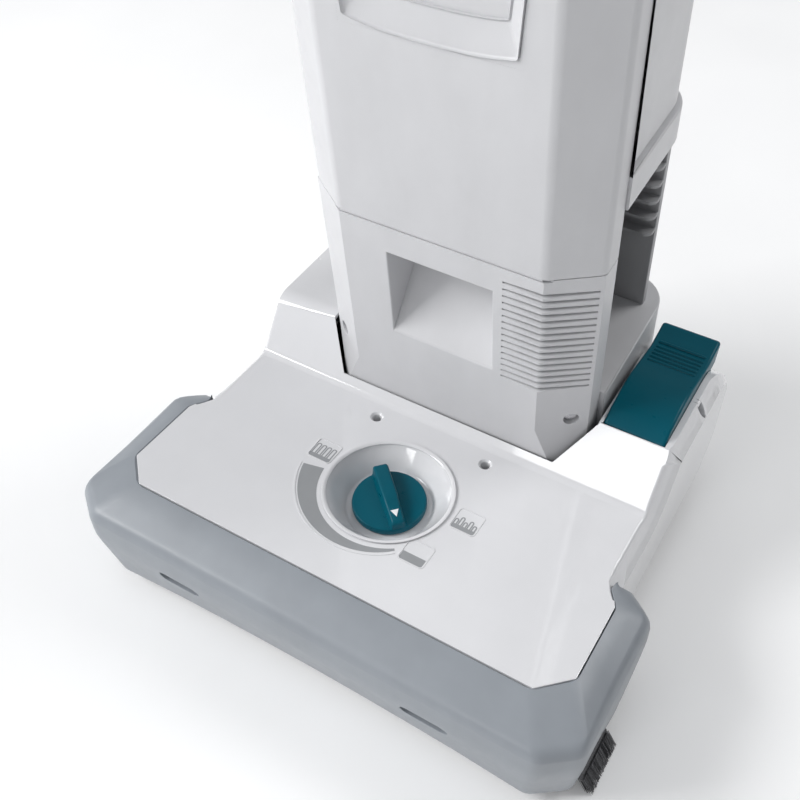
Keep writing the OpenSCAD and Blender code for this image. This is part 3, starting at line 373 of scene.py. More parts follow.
@dataclass(frozen=True)
class Edge:
    """What a test sees of one edge: middle (mm, machine), direction, length (mm), angle, convexity."""

    mid: Vector
    along: Vector
    length: float
    angle: float
    convex: bool


Test = Callable[[Edge], bool]


def round_edges(obj: Object, width: float, test: Test, segments: int = 3) -> int:
    """Rounds the edges that a test picks.

    Args:
        obj: the mesh object.
        width: width of the rounding, mm.
        test: picks edges by their place and shape.
        segments: faces across the rounding.

    Returns:
        How many edges were rounded.
    """
    count = 0
    with editing(obj):
        mesh = bmesh.from_edit_mesh(obj.data)
        mesh.normal_update()
        for edge in mesh.edges:
            if len(edge.link_faces) != 2:
                continue
            angle = math.degrees(edge.calc_face_angle(0))
            if angle < FLAT_DEG:
                continue
            a, b = (v.co for v in edge.verts)
            middle = (a + b) / 2 / MM
            middle.y -= FRONT / MM
            picked = test(Edge(middle, (b - a).normalized(), (b - a).length / MM, angle, edge.is_convex))
            edge.select_set(picked)
            count += picked
        bmesh.update_edit_mesh(obj.data)
        if count:
            bpy.ops.mesh.bevel(offset=width * MM, segments=segments, profile=0.5, affect="EDGES",
                               clamp_overlap=False, miter_outer="SHARP")
    return count


def sharp(edge: Edge) -> bool:
    """Picks every plain corner of a moulding."""
    return edge.angle > 28 and edge.length > 1.2


def skin(node: str, leaning: bool = False) -> Object:
    """Copy of a CAD node's mesh, merged and freed of its triangles, upright if the node leans.

    Args:
        node: the CAD node to copy.
        leaning: whether the node belongs to the leaned body.

    Returns:
        A new object to be rounded.
    """
    obj = frame["nodes"][node].copy()
    obj.data = obj.data.copy()
    obj.parent = None
    obj.matrix_world = Matrix.Identity(4)
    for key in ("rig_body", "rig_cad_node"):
        if key in obj:
            del obj[key]
    obj.name = f"{node}_skin"
    bpy.context.scene.collection.objects.link(obj)
    obj.data.materials.clear()
    if obj.data.has_custom_normals:
        activate(obj)
        bpy.ops.mesh.customdata_custom_splitnormals_clear()
    if leaning:
        turn_into(obj, LEANED.inverted())
    with editing(obj, "VERT", True):
        bpy.ops.mesh.remove_doubles(threshold=COPY_WELD)
        bpy.ops.mesh.dissolve_limited(angle_limit=math.radians(0.4))
    return obj


# ---------------------------------------------------------------- finishes


def linear(rgb: Triple) -> tuple[float, float, float, float]:
    """Colour of 0-255 screen values as the linear values that a shader takes."""
    out = [c / 255 / 12.92 if c / 255 <= 0.04045 else ((c / 255 + 0.055) / 1.055) ** 2.4 for c in rgb]
    return (out[0], out[1], out[2], 1.0)


class Graph:
    """Material under construction."""

    def __init__(self, name: str) -> None:
        """Starts a material with its main shader."""
        self.material = bpy.data.materials.new(name)
        self.material.use_nodes = True
        self.tree = self.material.node_tree
        self.shader = self.tree.nodes["Principled BSDF"]

    def node(self, kind: str, **settings: object) -> bpy.types.Node:
        """Adds a node and sets its properties."""
        node = self.tree.nodes.new(f"ShaderNode{kind}")
        for name, value in settings.items():
            setattr(node, name, value)
        return node

    def link(self, source: Socket, target: Socket) -> None:
        """Joins two sockets."""
        self.tree.links.new(source, target)

    def coords(self, stretch: Triple = (1, 1, 1), turn: float = 0) -> Socket:
        """Object coordinates in mm, stretched and turned about X by degrees."""
        source = self.node("TexCoord")
        mapping = self.node("Mapping", vector_type="POINT")
        mapping.inputs["Scale"].default_value = [s / MM for s in stretch]
        mapping.inputs["Rotation"].default_value = (math.radians(turn), 0, 0)
        self.link(source.outputs["Object"], mapping.inputs["Vector"])
        return mapping.outputs["Vector"]

    def noise(self, size: float, detail: float = 3, stretch: Triple = (1, 1, 1),
              rough: float = 0.55) -> Socket:
        """Noise with spots of a size in mm."""
        node = self.node("TexNoise")
        node.inputs["Scale"].default_value = 1 / size
        node.inputs["Detail"].default_value = detail
        node.inputs["Roughness"].default_value = rough
        self.link(self.coords(stretch), node.inputs["Vector"])
        return node.outputs["Fac"]

    def spread(self, source: Socket, low: float, high: float, start: float = 0.3,
               end: float = 0.7) -> Socket:
        """Maps a value from start-end to low-high."""
        node = self.node("MapRange")
        for name, value in (("From Min", start), ("From Max", end), ("To Min", low), ("To Max", high)):
            node.inputs[name].default_value = value
        self.link(source, node.inputs["Value"])
        return node.outputs["Result"]

    def tint(self, source: Socket, dark: Triple,
             light: Triple) -> Socket:
        """Colour between two screen colours by a value of 0-1."""
        node = self.node("Mix", data_type="RGBA")
        node.inputs["A"].default_value = linear(dark)
        node.inputs["B"].default_value = linear(light)
        self.link(source, node.inputs["Factor"])
        return node.outputs["Result"]

    def bump(self, heights: Sequence[tuple[Socket, float]]) -> None:
        """Bumps the surface by several height fields, each with its depth in mm."""
        before = None
        for source, depth in heights:
            node = self.node("Bump")
            node.inputs["Strength"].default_value = 1
            node.inputs["Distance"].default_value = depth * MM
            self.link(source, node.inputs["Height"])
            if before is not None:
                self.link(before, node.inputs["Normal"])
            before = node.outputs["Normal"]
        if before is not None:
            self.link(before, self.shader.inputs["Normal"])

    def color(self, source: Socket) -> None:
        """Sets the base colour."""
        self.link(source, self.shader.inputs["Base Color"])

    def roughness(self, source: Socket) -> None:
        """Sets the roughness."""
        self.link(source, self.shader.inputs["Roughness"])

    def set(self, **values: float) -> None:
        """Sets constants on the shader's own sockets; underscores stand for spaces."""
        for name, value in values.items():
            self.shader.inputs[name.replace("_", " ")].default_value = value


def shade(rgb: Triple, factor: float) -> Triple:
    """Colour made darker or lighter by a factor."""
    return (min(255, rgb[0] * factor), min(255, rgb[1] * factor), min(255, rgb[2] * factor))


@dataclass(frozen=True)
class Finish:
    """Finish of a piece: its name and its colour."""

    name: str
    rgb: Triple

    def paint(self, graph: Graph) -> None:
        """Gives the colour, the roughness and the relief."""
        raise NotImplementedError

    def shades(self, graph: Graph, source: Socket, dark: float, light: float) -> None:
        """Colours by a value, between two shades of the finish's colour."""
        graph.color(graph.tint(source, shade(self.rgb, dark), shade(self.rgb, light)))

    def material(self) -> bpy.types.Material:
        """Builds the material, or returns it if it is there."""
        if self.name in bpy.data.materials:
            return bpy.data.materials[self.name]
        graph = Graph(self.name)
        self.paint(graph)
        return graph.material


@dataclass(frozen=True)
class Moulding(Finish):
    """Moulded plastic: slight flow marks in the colour, and a spark grain in the surface."""

    rough: float = 0.4
    grain: float = 0.01
    grain_size: float = 0.45
    mottle: float = 0.015
    coat: float = 0.0
    specular: float = 0.5

    def paint(self, graph: Graph) -> None:
        """Paints the finish."""
        flow = graph.spread(graph.noise(35, 3, (1, 1, 0.5)), 0, 1)
        self.shades(graph, flow, 1 - self.mottle, 1 + self.mottle)
        patches = graph.noise(9, 4)
        graph.roughness(graph.spread(patches, self.rough * 0.9, self.rough * 1.1))
        graph.bump([(graph.noise(self.grain_size, 2), self.grain), (graph.noise(14, 2), self.grain * 0.8)])
        graph.set(Coat_Weight=self.coat, Coat_Roughness=0.03, Specular_IOR_Level=self.specular)


@dataclass(frozen=True)
class Metal(Finish):
    """Drawn or turned metal with fine marks along one axis."""

    rough: float = 0.3
    marks: Triple = (1, 1, 0.03)
    depth: float = 0.004

    def paint(self, graph: Graph) -> None:
        """Paints the finish."""
        lines = graph.noise(0.5, 3, self.marks)
        self.shades(graph, graph.spread(lines, 0, 1), 0.96, 1.03)
        graph.roughness(graph.spread(graph.noise(6, 4), self.rough * 0.94, self.rough * 1.08))
        graph.bump([(lines, self.depth)])
        graph.set(Metallic=1)


@dataclass(frozen=True)
class Rubber(Finish):
    """Matt rubber with a dusty speckle."""

    def paint(self, graph: Graph) -> None:
        """Paints the finish."""
        speckle = graph.spread(graph.noise(0.8, 5, rough=0.7), 0, 1, 0.4, 0.75)
        graph.color(graph.tint(speckle, self.rgb, shade(self.rgb, 1.5)))
        graph.roughness(graph.spread(graph.noise(5, 3), 0.68, 0.88))
        graph.bump([(graph.noise(0.35, 3), 0.03)])


@dataclass(frozen=True)
class Hair(Finish):
    """Nylon bristle: streaks along the hair."""

    along: Triple = (1, 1, 0.06)

    def paint(self, graph: Graph) -> None:
        """Paints the finish."""
        streaks = graph.spread(graph.noise(0.5, 3, self.along), 0, 1)
        self.shades(graph, streaks, 0.6, 1.7)
        graph.roughness(graph.spread(graph.noise(3, 2), 0.35, 0.55))
        graph.bump([(streaks, 0.04)])


@dataclass(frozen=True)
class Cloth(Finish):
    """Filter fleece: crossed fibres over a soft weave."""

    thread: float = 0.9

    def paint(self, graph: Graph) -> None:
        """Paints the finish."""
        across = graph.noise(self.thread, 4, (0.12, 1, 1), 0.65)
        upward = graph.noise(self.thread, 4, (1, 1, 0.12), 0.65)
        weave = graph.node("Math", operation="MAXIMUM")
        graph.link(across, weave.inputs[0])
        graph.link(upward, weave.inputs[1])
        fibre = graph.spread(weave.outputs["Value"], 0, 1, 0.4, 0.8)
        self.shades(graph, fibre, 0.86, 1.05)
        graph.roughness(graph.spread(graph.noise(4, 3), 0.8, 0.95))
        graph.bump([(fibre, 0.18), (graph.noise(22, 3), 0.5)])
        graph.set(Sheen_Weight=0.35, Sheen_Roughness=0.5)


@dataclass(frozen=True)
class Card(Finish):
    """Pressed card with long fibres."""

    def paint(self, graph: Graph) -> None:
        """Paints the finish."""
        fibre = graph.spread(graph.noise(0.7, 5, (0.2, 1, 1), 0.7), 0, 1)
        self.shades(graph, fibre, 0.8, 1.1)
        graph.roughness(graph.spread(graph.noise(3, 3), 0.75, 0.92))
        graph.bump([(fibre, 0.06)])


@dataclass(frozen=True)
class Pleated(Finish):
    """Pleated filter paper, with painted shade darkening the valleys of the folds."""

    pitch: float = 4.0

    def paint(self, graph: Graph) -> None:
        """Paints the finish."""
        wave = graph.node("TexWave", wave_type="BANDS", bands_direction="X", wave_profile="TRI")
        wave.inputs["Scale"].default_value = 0.314 / self.pitch
        graph.link(graph.coords(), wave.inputs["Vector"])
        # painted shade: the colour falls to 0.55 of the paper's where the wave is low, in the fold valleys
        graph.color(graph.tint(wave.outputs["Fac"], shade(self.rgb, 0.55), self.rgb))
        graph.roughness(graph.spread(graph.noise(2, 3), 0.8, 0.95))
        graph.bump([(wave.outputs["Fac"], 1.2), (graph.noise(0.6, 4), 0.05)])


@dataclass(frozen=True)
class Board(Finish):
    """Circuit board: solder mask with copper tracks and pads."""

    def paint(self, graph: Graph) -> None:
        """Paints the finish."""
        bricks = graph.node("TexBrick")
        bricks.inputs["Scale"].default_value = 0.12
        bricks.inputs["Mortar Size"].default_value = 0.03
        graph.link(graph.coords((1, 0, 1)), bricks.inputs["Vector"])
        tracks = graph.spread(bricks.outputs["Fac"], 0, 1, 0.3, 0.6)
        graph.color(graph.tint(tracks, self.rgb, (150, 170, 90)))
        graph.roughness(graph.spread(graph.noise(5, 2), 0.25, 0.4))
        graph.bump([(tracks, 0.05)])


HEAD_SHELL = Moulding("glossy_white_moulding", (222, 222, 224), rough=0.12, grain=0.0012, grain_size=2.2,
                      mottle=0.006, coat=0.8)
BODY_SHELL = Moulding("satin_grey_moulding", (206, 206, 208), rough=0.36, grain=0.006, grain_size=0.5)
BUMPER = Moulding("bumper_moulding", (143, 148, 154), rough=0.38, grain=0.012, grain_size=0.6, mottle=0.02)
DARK = Moulding("dark_moulding", (84, 84, 87), rough=0.5, grain=0.02, grain_size=0.5, mottle=0.04)
BLACK = Moulding("black_moulding", (36, 36, 38), rough=0.42, grain=0.015, grain_size=0.5, mottle=0.08)
TEAL = Moulding("teal_moulding", (0, 84, 100), rough=0.3, grain=0.006, grain_size=0.5, mottle=0.02,
                specular=0.16)
SPINE = Moulding("spine_moulding", (158, 158, 160), rough=0.45, grain=0.012, grain_size=0.5, mottle=0.03)
WINDOW = Moulding("smoked_window", (16, 18, 20), rough=0.1, grain=0.001, mottle=0.1, coat=0.5)
LED = Moulding("status_lens", (70, 190, 90), rough=0.25, grain=0.004, mottle=0.05)
PRINT = Moulding("grey_paint", (148, 150, 152), rough=0.5, grain=0.004, grain_size=0.3, mottle=0.02)
PALE = Moulding("pale_paint", (236, 238, 240), rough=0.4, grain=0.003, grain_size=0.3)
STEEL = Metal("turned_steel", (190, 190, 192), 0.28, (0.04, 1, 1))
TUBE = Metal("satin_aluminium", (205, 206, 208), 0.32, (1, 1, 0.03))
RUBBER = Rubber("tyre_rubber", (34, 34, 35))
BRISTLE = Hair("bristle_nylon", (66, 66, 68))
BAG = Cloth("filter_fleece", (226, 220, 206))
KRAFT = Card("collar_card", (196, 164, 116))
# the filter paper's dark grey is painted shade: it darkens the louvre slots in front of it
PAPER_DARK_FOR_SLOT_SHADE = Pleated("pleated_paper", (84, 86, 86))
GREEN = Board("circuit_board", (30, 92, 52))

FINISH_OF: dict[str, Finish] = {
    "head_shell": HEAD_SHELL, "bumper": BUMPER, "body_shell": BODY_SHELL, "dark_plastic": DARK,
    "black_plastic": BLACK, "teal_plastic": TEAL, "rubber": RUBBER, "bristle": BRISTLE, "steel": STEEL,
    "aluminium": TUBE, "bag": BAG, "card": KRAFT, "filter": PAPER_DARK_FOR_SLOT_SHADE, "board": GREEN, "gauge": WINDOW,
}


def coat(obj: Object, finish: Finish) -> None:
    """Gives an object one finish."""
    if obj.data.materials:
        obj.material_slots[0].material = finish.material()
    else:
        obj.data.materials.append(finish.material())


def dress(obj: Object, node: str, finish: Finish | None = None, stands_for: bool = True) -> None:
    """Gives a piece its finish and its body.

    Args:
        obj: the finished piece.
        node: the CAD node it belongs to or stands for.
        finish: its finish; the node's own slot gives it where none is named.
        stands_for: whether it hides the node.
    """
    coat(obj, finish or FINISH_OF[SLOT_OF[node]])
    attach(obj, BODY_OF[node])
    if stands_for:
        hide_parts(node)
    LOG.info("%s: %d faces on %s", obj.name, len(obj.data.polygons), BODY_OF[node])


def complete(obj: Object, node: str, angle: float = SMOOTH_DEG, leaning: bool = False,
             finish: Finish | None = None, stands_for: bool = True) -> None:
    """Smooths a piece, leans it if it belongs to the body, and dresses it."""
    smooth(obj, angle)
    if leaning:
        lean(obj)
    dress(obj, node, finish, stands_for)


def soften(node: str, leaning: bool, rounds: Sequence[tuple[float, Test, int]],
           finish: Finish | None = None, angle: float = SMOOTH_DEG) -> Object:
    """Rounded piece made from a CAD node's copy.

    Args:
        node: the CAD node it stands for.
        leaning: whether the node leans with the body.
        rounds: width, test and segments of each pass of rounding.
        finish: finish of the piece.
        angle: edges over this angle stay sharp.

    Returns:
        The dressed piece.
    """
    obj = skin(node, leaning)
    for width, test, segments in rounds:
        round_edges(obj, width, test, segments)
    complete(obj, node, angle, leaning, finish)
    return obj


# ---------------------------------------------------------------- floor head


@dataclass
class FloorHead:
    """Bumper, top cover and chassis of the floor head."""

    half: float = 195
    arm: float = 119
    panel_half: float = 171.4
    low: float = 14
    side: float = 168
    ridge: float = 160
    slots: Pair = (-100, 96)
    slot_half: float = 11
    slot_r: float = 6
    slot_z: float = 50
    slot_depth: float = 11.4
    wall: float = 2.5
    wall_step: float = 8.5

    def build(self) -> None:
        """Builds and dresses every piece of the floor head."""
        self.bumper()
        self.cover()
        for node in ("head_base", "sole_plate", "roller_bearings", "suction_duct"):
            soften(node, False, [(0.4, sharp, 2)])
        soften("head_screws", False, [(0.4, sharp, 2)], BLACK)

    def path(self) -> list[tuple[Vector, Vector]]:
        """Matched points of the bumper's outer edge and of the panel's outline, from hook to hook."""
        edge = self.panel_half + 0.6
        pairs = [((172, 134.3), (165.4, 130.6)), ((177.4, 133.6), (163.9, 127.2)),
                 ((183, 129.6), (163.6, 123.6)), ((189.2, 124.8), (166.5, 119.4)),
                 ((193, 121.4), (169.8, 114.6)), ((194.8, 117.4), (edge, 110.6)),
                 ((self.half, 112), (edge, 106)), ((self.half, 86), (edge, 88)),
                 ((self.half, 60), (edge, 72))]
        outer = fillet((self.half, 60), (self.half, 18), (172, 0), 5)
        inner = fillet((edge, 72), (edge, 53), (152, PANEL_Y - 0.6), 5)
        outer += fillet((self.half, 18), (172, 0), (0, 0), 5)
        inner += fillet((edge, 53), (152, PANEL_Y - 0.6), (0, PANEL_Y - 0.6), 5)
        for t in (0.25, 0.5, 0.75, 1):
            outer.append((158 * (1 - t), 0))
            inner.append((142 * (1 - t), PANEL_Y - 0.6))
        half = [(Vector(o), Vector(i)) for o, i in pairs + list(zip(outer, inner))]
        mirror = [(Vector((-o.x, o.y)), Vector((-i.x, i.y))) for o, i in reversed(half[:-1])]
        return half + mirror

    def section(self, outer: Vector, inner: Vector) -> list[Vector]:
        """Closed section of the bumper between its outer edge and the panel."""
        inward = (inner - outer).normalized()
        reach = (inner - outer).length
        front = min(1, abs(inward.y))
        foot = 2.5 + 9.5 * front ** 2
        points = [(foot, self.low), (foot * 0.62, 31), (foot * 0.2, 50), (0.15, 60), (0, 67)]
        for i in range(1, 9):
            a = math.radians(180 - 9.5 * i)
            points.append((11 * (1 + math.cos(a)), PANEL_Z - 20 + 11.4 * math.sin(a)))
        edge_z = panel_height(inner.y) - 0.4
        last_u, last_z = points[-1]
        for t in (0.35, 0.7, 0.96):
            points.append((last_u + (reach - last_u) * t, last_z + (edge_z - last_z) * (1 - (1 - t) ** 1.35)))
        inside = min(foot + 5, reach - 0.5)
        points += [(reach, edge_z - 0.9), (reach, 70.5), (inside, 70.4), (inside - 1, 40), (inside, self.low)]
        places = []
        for u, z in points:
            place = outer + inward * u
            if outer.y > self.arm:
                # the hook leans over the chamfer of the cover
                side = min(168.6, 160.7 + 0.57 * max(0, panel_height(inner.y) - z))
                place.x = math.copysign(max(abs(place.x), side), place.x)
            places.append(at(*place, z))
        return places

    def bumper(self) -> None:
        """Wrap-round bumper lofted along its path, with rounded arm ends and two slots."""
        rings = [self.section(o, i) for o, i in self.path()]
        obj = loft("bumper_moulding", rings)

        def arm_end(edge: Edge) -> bool:
            """Picks the outer corner of each arm's end."""
            return edge.mid.y > 129 and edge.angle > 50 and edge.mid.z > self.low + 0.5

        round_edges(obj, 1.2, arm_end, 3)
        for x in self.slots:
            outline = []
            for side, start in ((1, -90), (-1, 90)):
                for k in range(9):
                    u, z = on_circle(x + side * self.slot_half, self.slot_z, self.slot_r, start + 180 * k / 8)
                    outline.append(at(u, -2, z))
            subtract(obj, prism("slot_cutter", outline, Vector((0, self.slot_depth * MM, 0))))

        def slot_rim(edge: Edge) -> bool:
            """Picks the rims of the slots on the front face."""
            return (edge.mid.y < 8 and 43 < edge.mid.z < 57 and edge.angle > 40
                    and min(abs(edge.mid.x - x) for x in self.slots) < 18 and edge.convex)

        round_edges(obj, 0.7, slot_rim, 2)
        complete(obj, "bumper", 30)

    def side_profile(self) -> list[tuple[Vector, Vector, float]]:
        """Top line of the cover's sides with its outward direction and how deep the chamfer is there."""
        points = [(116, panel_height(116), 0.5), (121, panel_height(121), 6), (128, panel_height(128), 12)]
        points += [(y, panel_height(y), 14) for y in (140, 160, 178)]
        points += [(y, z, 14) for y, z in fillet((160, panel_height(160)), (190, 88), (219, 127), 9)]
        points += [(y, z, 13) for y, z in fillet((190, 88), (219, 127), (280, 127), 8)]
        points += [(y, 127, 13) for y in (240, 262, 280)]
        for i in range(7):
            points.append((*on_circle(289, 85, 42, 88 - 13 * i), 13 - 2 * i))
        places = []
        for i, (y, z, deep) in enumerate(points):
            before, after = points[max(0, i - 1)], points[min(len(points) - 1, i + 1)]
            out = Vector((0, before[1] - after[1], after[0] - before[0])).normalized()
            places.append((Vector((0, y, z)), out, deep))
        return places

    def cover(self) -> None:
        """Top cover with soft crease and ramp, and a chamfer along both sides."""
        def crosswise(edge: Edge) -> bool:
            """Picks the long edges across the machine."""
            return abs(edge.along.x) > 0.99 and edge.length > 20 and edge.mid.z > 84 and 30 < edge.angle < 70

        def crease(edge: Edge) -> bool:
            """Picks the crease at the foot of the ramp."""
            return crosswise(edge) and 185 < edge.mid.y < 205

        def ramp_top(edge: Edge) -> bool:
            """Picks the top of the ramp on the side without the pedal."""
            return crosswise(edge) and 205 < edge.mid.y < 224 and edge.mid.x < 0

        def ridge(edge: Edge) -> bool:
            """Picks the upper edge of the chamfers."""
            return (abs(abs(edge.mid.x) - self.ridge) < 0.6 and 123 < edge.mid.y < 212 and edge.angle > 20
                    and edge.mid.z > 80 and abs(edge.along.x) < 0.3)

        def fine(edge: Edge) -> bool:
            """Picks the other outer edges."""
            return (edge.angle > 30 and edge.length > 0.7 and edge.mid.z > self.low + 1
                    and (edge.mid.y < 200 or abs(edge.mid.x) < 154))

        obj = skin("head_cover")
        round_edges(obj, 4, crease, 4)
        round_edges(obj, 9, ramp_top, 6)
        # the inner corners step back, so that the chamfers leave a wall
        with editing(obj, "VERT"):
            mesh = bmesh.from_edit_mesh(obj.data)
            for vert in mesh.verts:
                if abs(abs(vert.co.x) / MM - self.side + self.wall) < 0.3 and vert.co.z > 62 * MM:
                    vert.co.x -= math.copysign(self.wall_step * MM, vert.co.x)
            bmesh.update_edit_mesh(obj.data)
        for side in (1, -1):
            rings = []
            for place, out, deep in self.side_profile():
                corners = []
                width = (self.side - self.ridge) * min(1, deep / 12)
                slope = deep / width
                for x, h in ((self.side - width - 3 / slope, 3), (self.side + 4, 3),
                             (self.side + 4, -deep - 4 * slope)):
                    spot = place + out * h
                    corners.append(at(side * x, spot.y, spot.z))
                rings.append(corners)
            cutter = loft("side_cutter", rings)
            clean(cutter)
            subtract(obj, cutter, "MANIFOLD")
        clean(obj)
        round_edges(obj, 1.6, ridge, 3)
        round_edges(obj, 0.6, fine, 2)
        complete(obj, "head_cover")


# ---------------------------------------------------------------- height dial


@dataclass
class HeightDial:
    """Dial recess, knob and the marks round it on the top panel."""

    y: float = 119
    cup_r: float = 46
    floor_r: float = 30.5
    floor_z: float = 74.2
    knob_r: float = 26.5
    bar_turn: float = -43.5
    tile: float = 19.5

    def build(self) -> None:
        """Builds and dresses the dial."""
        self.cup()
        self.knob()
        self.arc()
        self.tile_mark(Pile.LONG, (-58.9, 7.7))
        self.tile_mark(Pile.MIXED, (59.8, 3.8))
        self.tile_mark(Pile.BARE, (43.8, -36.6))
        soften("height_cam", False, [(0.6, sharp, 2)])

    def on_panel(self, x: float, y: float, lift: float) -> Vector:
        """Point over the panel, by its place from the dial's centre."""
        return at(x, self.y + y, panel_height(self.y + y) + lift)

    def cup(self) -> None:
        """Glossy cone with a thin raised rim."""
        rim = self.cup_r
        profile = [(10, 62.4), (10, 72.2), (self.floor_r + 1.5, 72.2), (rim - 2.4, 87.6), (rim - 2.35, 91.8),
                   (rim - 1.2, 92.7), (rim + 0.4, 92.7), (rim + 0.6, 92.2), (rim + 0.1, 91.7),
                   (rim - 2.3, 91), (rim - 3.9, 88.4), (self.floor_r + 1.2, 75.3),
                   (self.floor_r - 0.6, self.floor_z),
                   (self.floor_r - 6, self.floor_z), (6.1, self.floor_z), (6.1, 62.4), (10, 62.4)]
        obj = turned("dial_recess", 0, self.y, profile, 96)
        with editing(obj, "VERT"):
            mesh = bmesh.from_edit_mesh(obj.data)
            for vert in mesh.verts:
                if vert.co.z > 80 * MM:
                    y = (vert.co.y - FRONT) / MM
                    fade = min(1, (vert.co.z / MM - 80) / 8)
                    vert.co.z += (panel_height(y) - panel_height(self.y)) * MM * fade
            bmesh.update_edit_mesh(obj.data)
        complete(obj, "dial_cup", 40)

    def knob(self) -> None:
        """Teal disc with a raised grip bar, its plateau over the rear two thirds."""
        base = self.floor_z + 0.8
        r = self.knob_r
        profile = [(0.01, base + 0.4), (r - 1.4, base), (r - 0.3, base + 0.5), (r, base + 1.6),
                   (r, base + 4.2), (r - 0.5, base + 5.5), (r - 2, base + 6.3), (0.01, base + 6.5)]
        disc = turned("knob_disc", 0, self.y, profile, 96)
        stem_profile = [(0.01, 60.3), (6, 60.3), (6, base + 1), (0.01, base + 1)]
        stem = turned("knob_stem", 0, self.y, stem_profile, 48)
        rings = []
        top = self.floor_z + 17
        for u, w, z in ((-r + 0.6, 4.2, top - 4.5), (-r + 1.6, 5.2, top - 1.2), (-r + 4, 5.4, top),
                        (4, 5.4, top), (8.5, 5.1, top - 1.6), (13, 4.9, top - 2.6), (r - 4, 4.7, top - 3.4),
                        (r - 1.6, 4.3, top - 4.6), (r - 0.7, 3.4, top - 6.5)):
            foot = w + 1.5
            section = [(-foot, base + 5.6), (-foot + 0.9, base + 7.4), (-w, z - 1.1), (-w + 0.8, z - 0.25),
                       (-w + 1.9, z), (w - 1.9, z), (w - 0.8, z - 0.25), (w, z - 1.1),
                       (foot - 0.9, base + 7.4), (foot, base + 5.6)]
            rings.append([at(u, self.y + v, h) for v, h in section])
        bar = loft("knob_bar", rings)
        turn = math.radians(self.bar_turn)
        middle = at(0, self.y, 0)
        turn_into(bar, Matrix.Translation(middle) @ Matrix.Rotation(turn, 4, "Z")
                  @ Matrix.Translation(-middle))
        obj = join("dial_knob", [disc, stem, bar])
        complete(obj, "height_knob", 40)
        tip = [(r - 11.5, -2.9), (r - 5.6, 0), (r - 11.5, 2.9)]
        c, s = math.cos(turn), math.sin(turn)
        mark = prism("dial_pointer", [at(u * c - v * s, self.y + u * s + v * c, top - 3.45) for u, v in tip],
                     rise(0.9))
        round_edges(mark, 0.2, sharp, 2)
        complete(mark, "height_knob", finish=PALE, stands_for=False)

    def ribbon(self, name: str, centre: Sequence[Pair], widths: Sequence[float], lift: float,
               thick: float) -> Object:
        """Thin raised band along a path on the panel.

        Args:
            name: name of the new object.
            centre: points of its middle line, from the dial's centre.
            widths: its width at each point.
            lift: height of its underside over the panel.
            thick: its thickness.

        Returns:
            The band.
        """
        left, right = [], []
        for i, (x, y) in enumerate(centre):
            x0, y0 = centre[max(0, i - 1)]
            x1, y1 = centre[min(len(centre) - 1, i + 1)]
            n = Vector((y0 - y1, x1 - x0)).normalized() * widths[i] / 2
            left.append(self.on_panel(x + n.x, y + n.y, lift))
            right.append(self.on_panel(x - n.x, y - n.y, lift))
        return prism(name, left + right[::-1], rise(thick))

    def arc(self) -> None:
        """Grey tapered arc from the long pile to the bare floor, with a thin outline outside it."""
        angles = [-172 + 118 * i / 40 for i in range(41)]
        widths = [14.5 * (1 - i / 41) ** 0.9 + 1.2 for i in range(41)]

        def ring(offsets: Sequence[float]) -> list[Pair]:
            """Points at a distance from the dial's centre, one for each angle."""
            return [on_circle(0, 0, r, a) for a, r in zip(angles, offsets)]

        band = self.ribbon("dial_arc", ring([50.2 + w / 2 for w in widths]), widths, -0.15, 0.3)
        complete(band, "dial_cup", finish=PRINT, stands_for=False)
        line = self.ribbon("dial_arc_line", ring([52.2 + w for w in widths]), [1.0] * 41, -0.15, 0.5)
        complete(line, "dial_cup", finish=HEAD_SHELL, stands_for=False)

    def rounded(self, w: float, h: float, r: float, n: int = 5) -> list[Pair]:
        """Outline of a rounded rectangle."""
        points = []
        for cx, cy, start in ((w / 2 - r, h / 2 - r, 0), (-w / 2 + r, h / 2 - r, 90),
                              (-w / 2 + r, -h / 2 + r, 180), (w / 2 - r, -h / 2 + r, 270)):
            points += [on_circle(cx, cy, r, start + 90 * k / n) for k in range(n + 1)]
        return points

    def tile_mark(self, pile: Pile, middle: Pair) -> None:
        """Tile with a raised outline, a band of backing and the pile's loops.

        Args:
            pile: what is drawn on the tile.
            middle: the tile's middle, from the dial's centre.
        """
        cx, cy = middle

        def spot(u: float, v: float, lift: float) -> Vector:
            """Point of the tile, upright in the machine."""
            return self.on_panel(cx + u, cy + v, lift)

        size = self.tile
        outside, inside = self.rounded(size, size, 3), self.rounded(size - 1.5, size - 1.5, 2.3)
        frame_out = prism("frame_out", [spot(u, v, -0.2) for u, v in outside], rise(0.65))
        subtract(frame_out, prism("frame_in", [spot(u, v, -1) for u, v in inside], rise(3)))
        round_edges(frame_out, 0.2, sharp, 2)
        smooth(frame_out)
        frame_out.name = f"tile_outline_{pile.value}"
        dress(frame_out, "dial_cup", HEAD_SHELL, stands_for=False)
        inner = size - 2.4
        low = -inner / 2
        band = 3.4 if pile is not Pile.BARE else 6.6
        backing = ((-inner / 2, low + 0.8), (-inner / 2 + 0.8, low), (inner / 2 - 0.8, low),
                   (inner / 2, low + 0.8), (inner / 2, low + band), (-inner / 2, low + band))
        parts = [prism("backing", [spot(u, v, -0.12) for u, v in backing], rise(0.24))]
        heights = {Pile.LONG: (9.6,) * 4, Pile.MIXED: (4.4, 7.2, 4.2, 6.8, 4.4), Pile.BARE: ()}[pile]
        step = inner / max(1, len(heights))
        for i, tall in enumerate(heights):
            u0 = -inner / 2 + step * (i + 0.5)
            w = step * 0.32
            line = [(u0 - w, low + band - 0.2), (u0 - w, low + band + tall - w)]
            line += [on_circle(u0, low + band + tall - w, w, 180 - 30 * k) for k in range(1, 6)]
            line += [(u0 + w, low + band + tall - w), (u0 + w, low + band - 0.2)]
            line = [(cx + u, cy + v) for u, v in line]
            parts.append(self.ribbon("loop", line, [0.95] * len(line), -0.12, 0.24))
        print_ = join(f"tile_print_{pile.value}", parts)
        complete(print_, "dial_cup", finish=PRINT, stands_for=False)


# ---------------------------------------------------------------- brushes, wheels, pedal


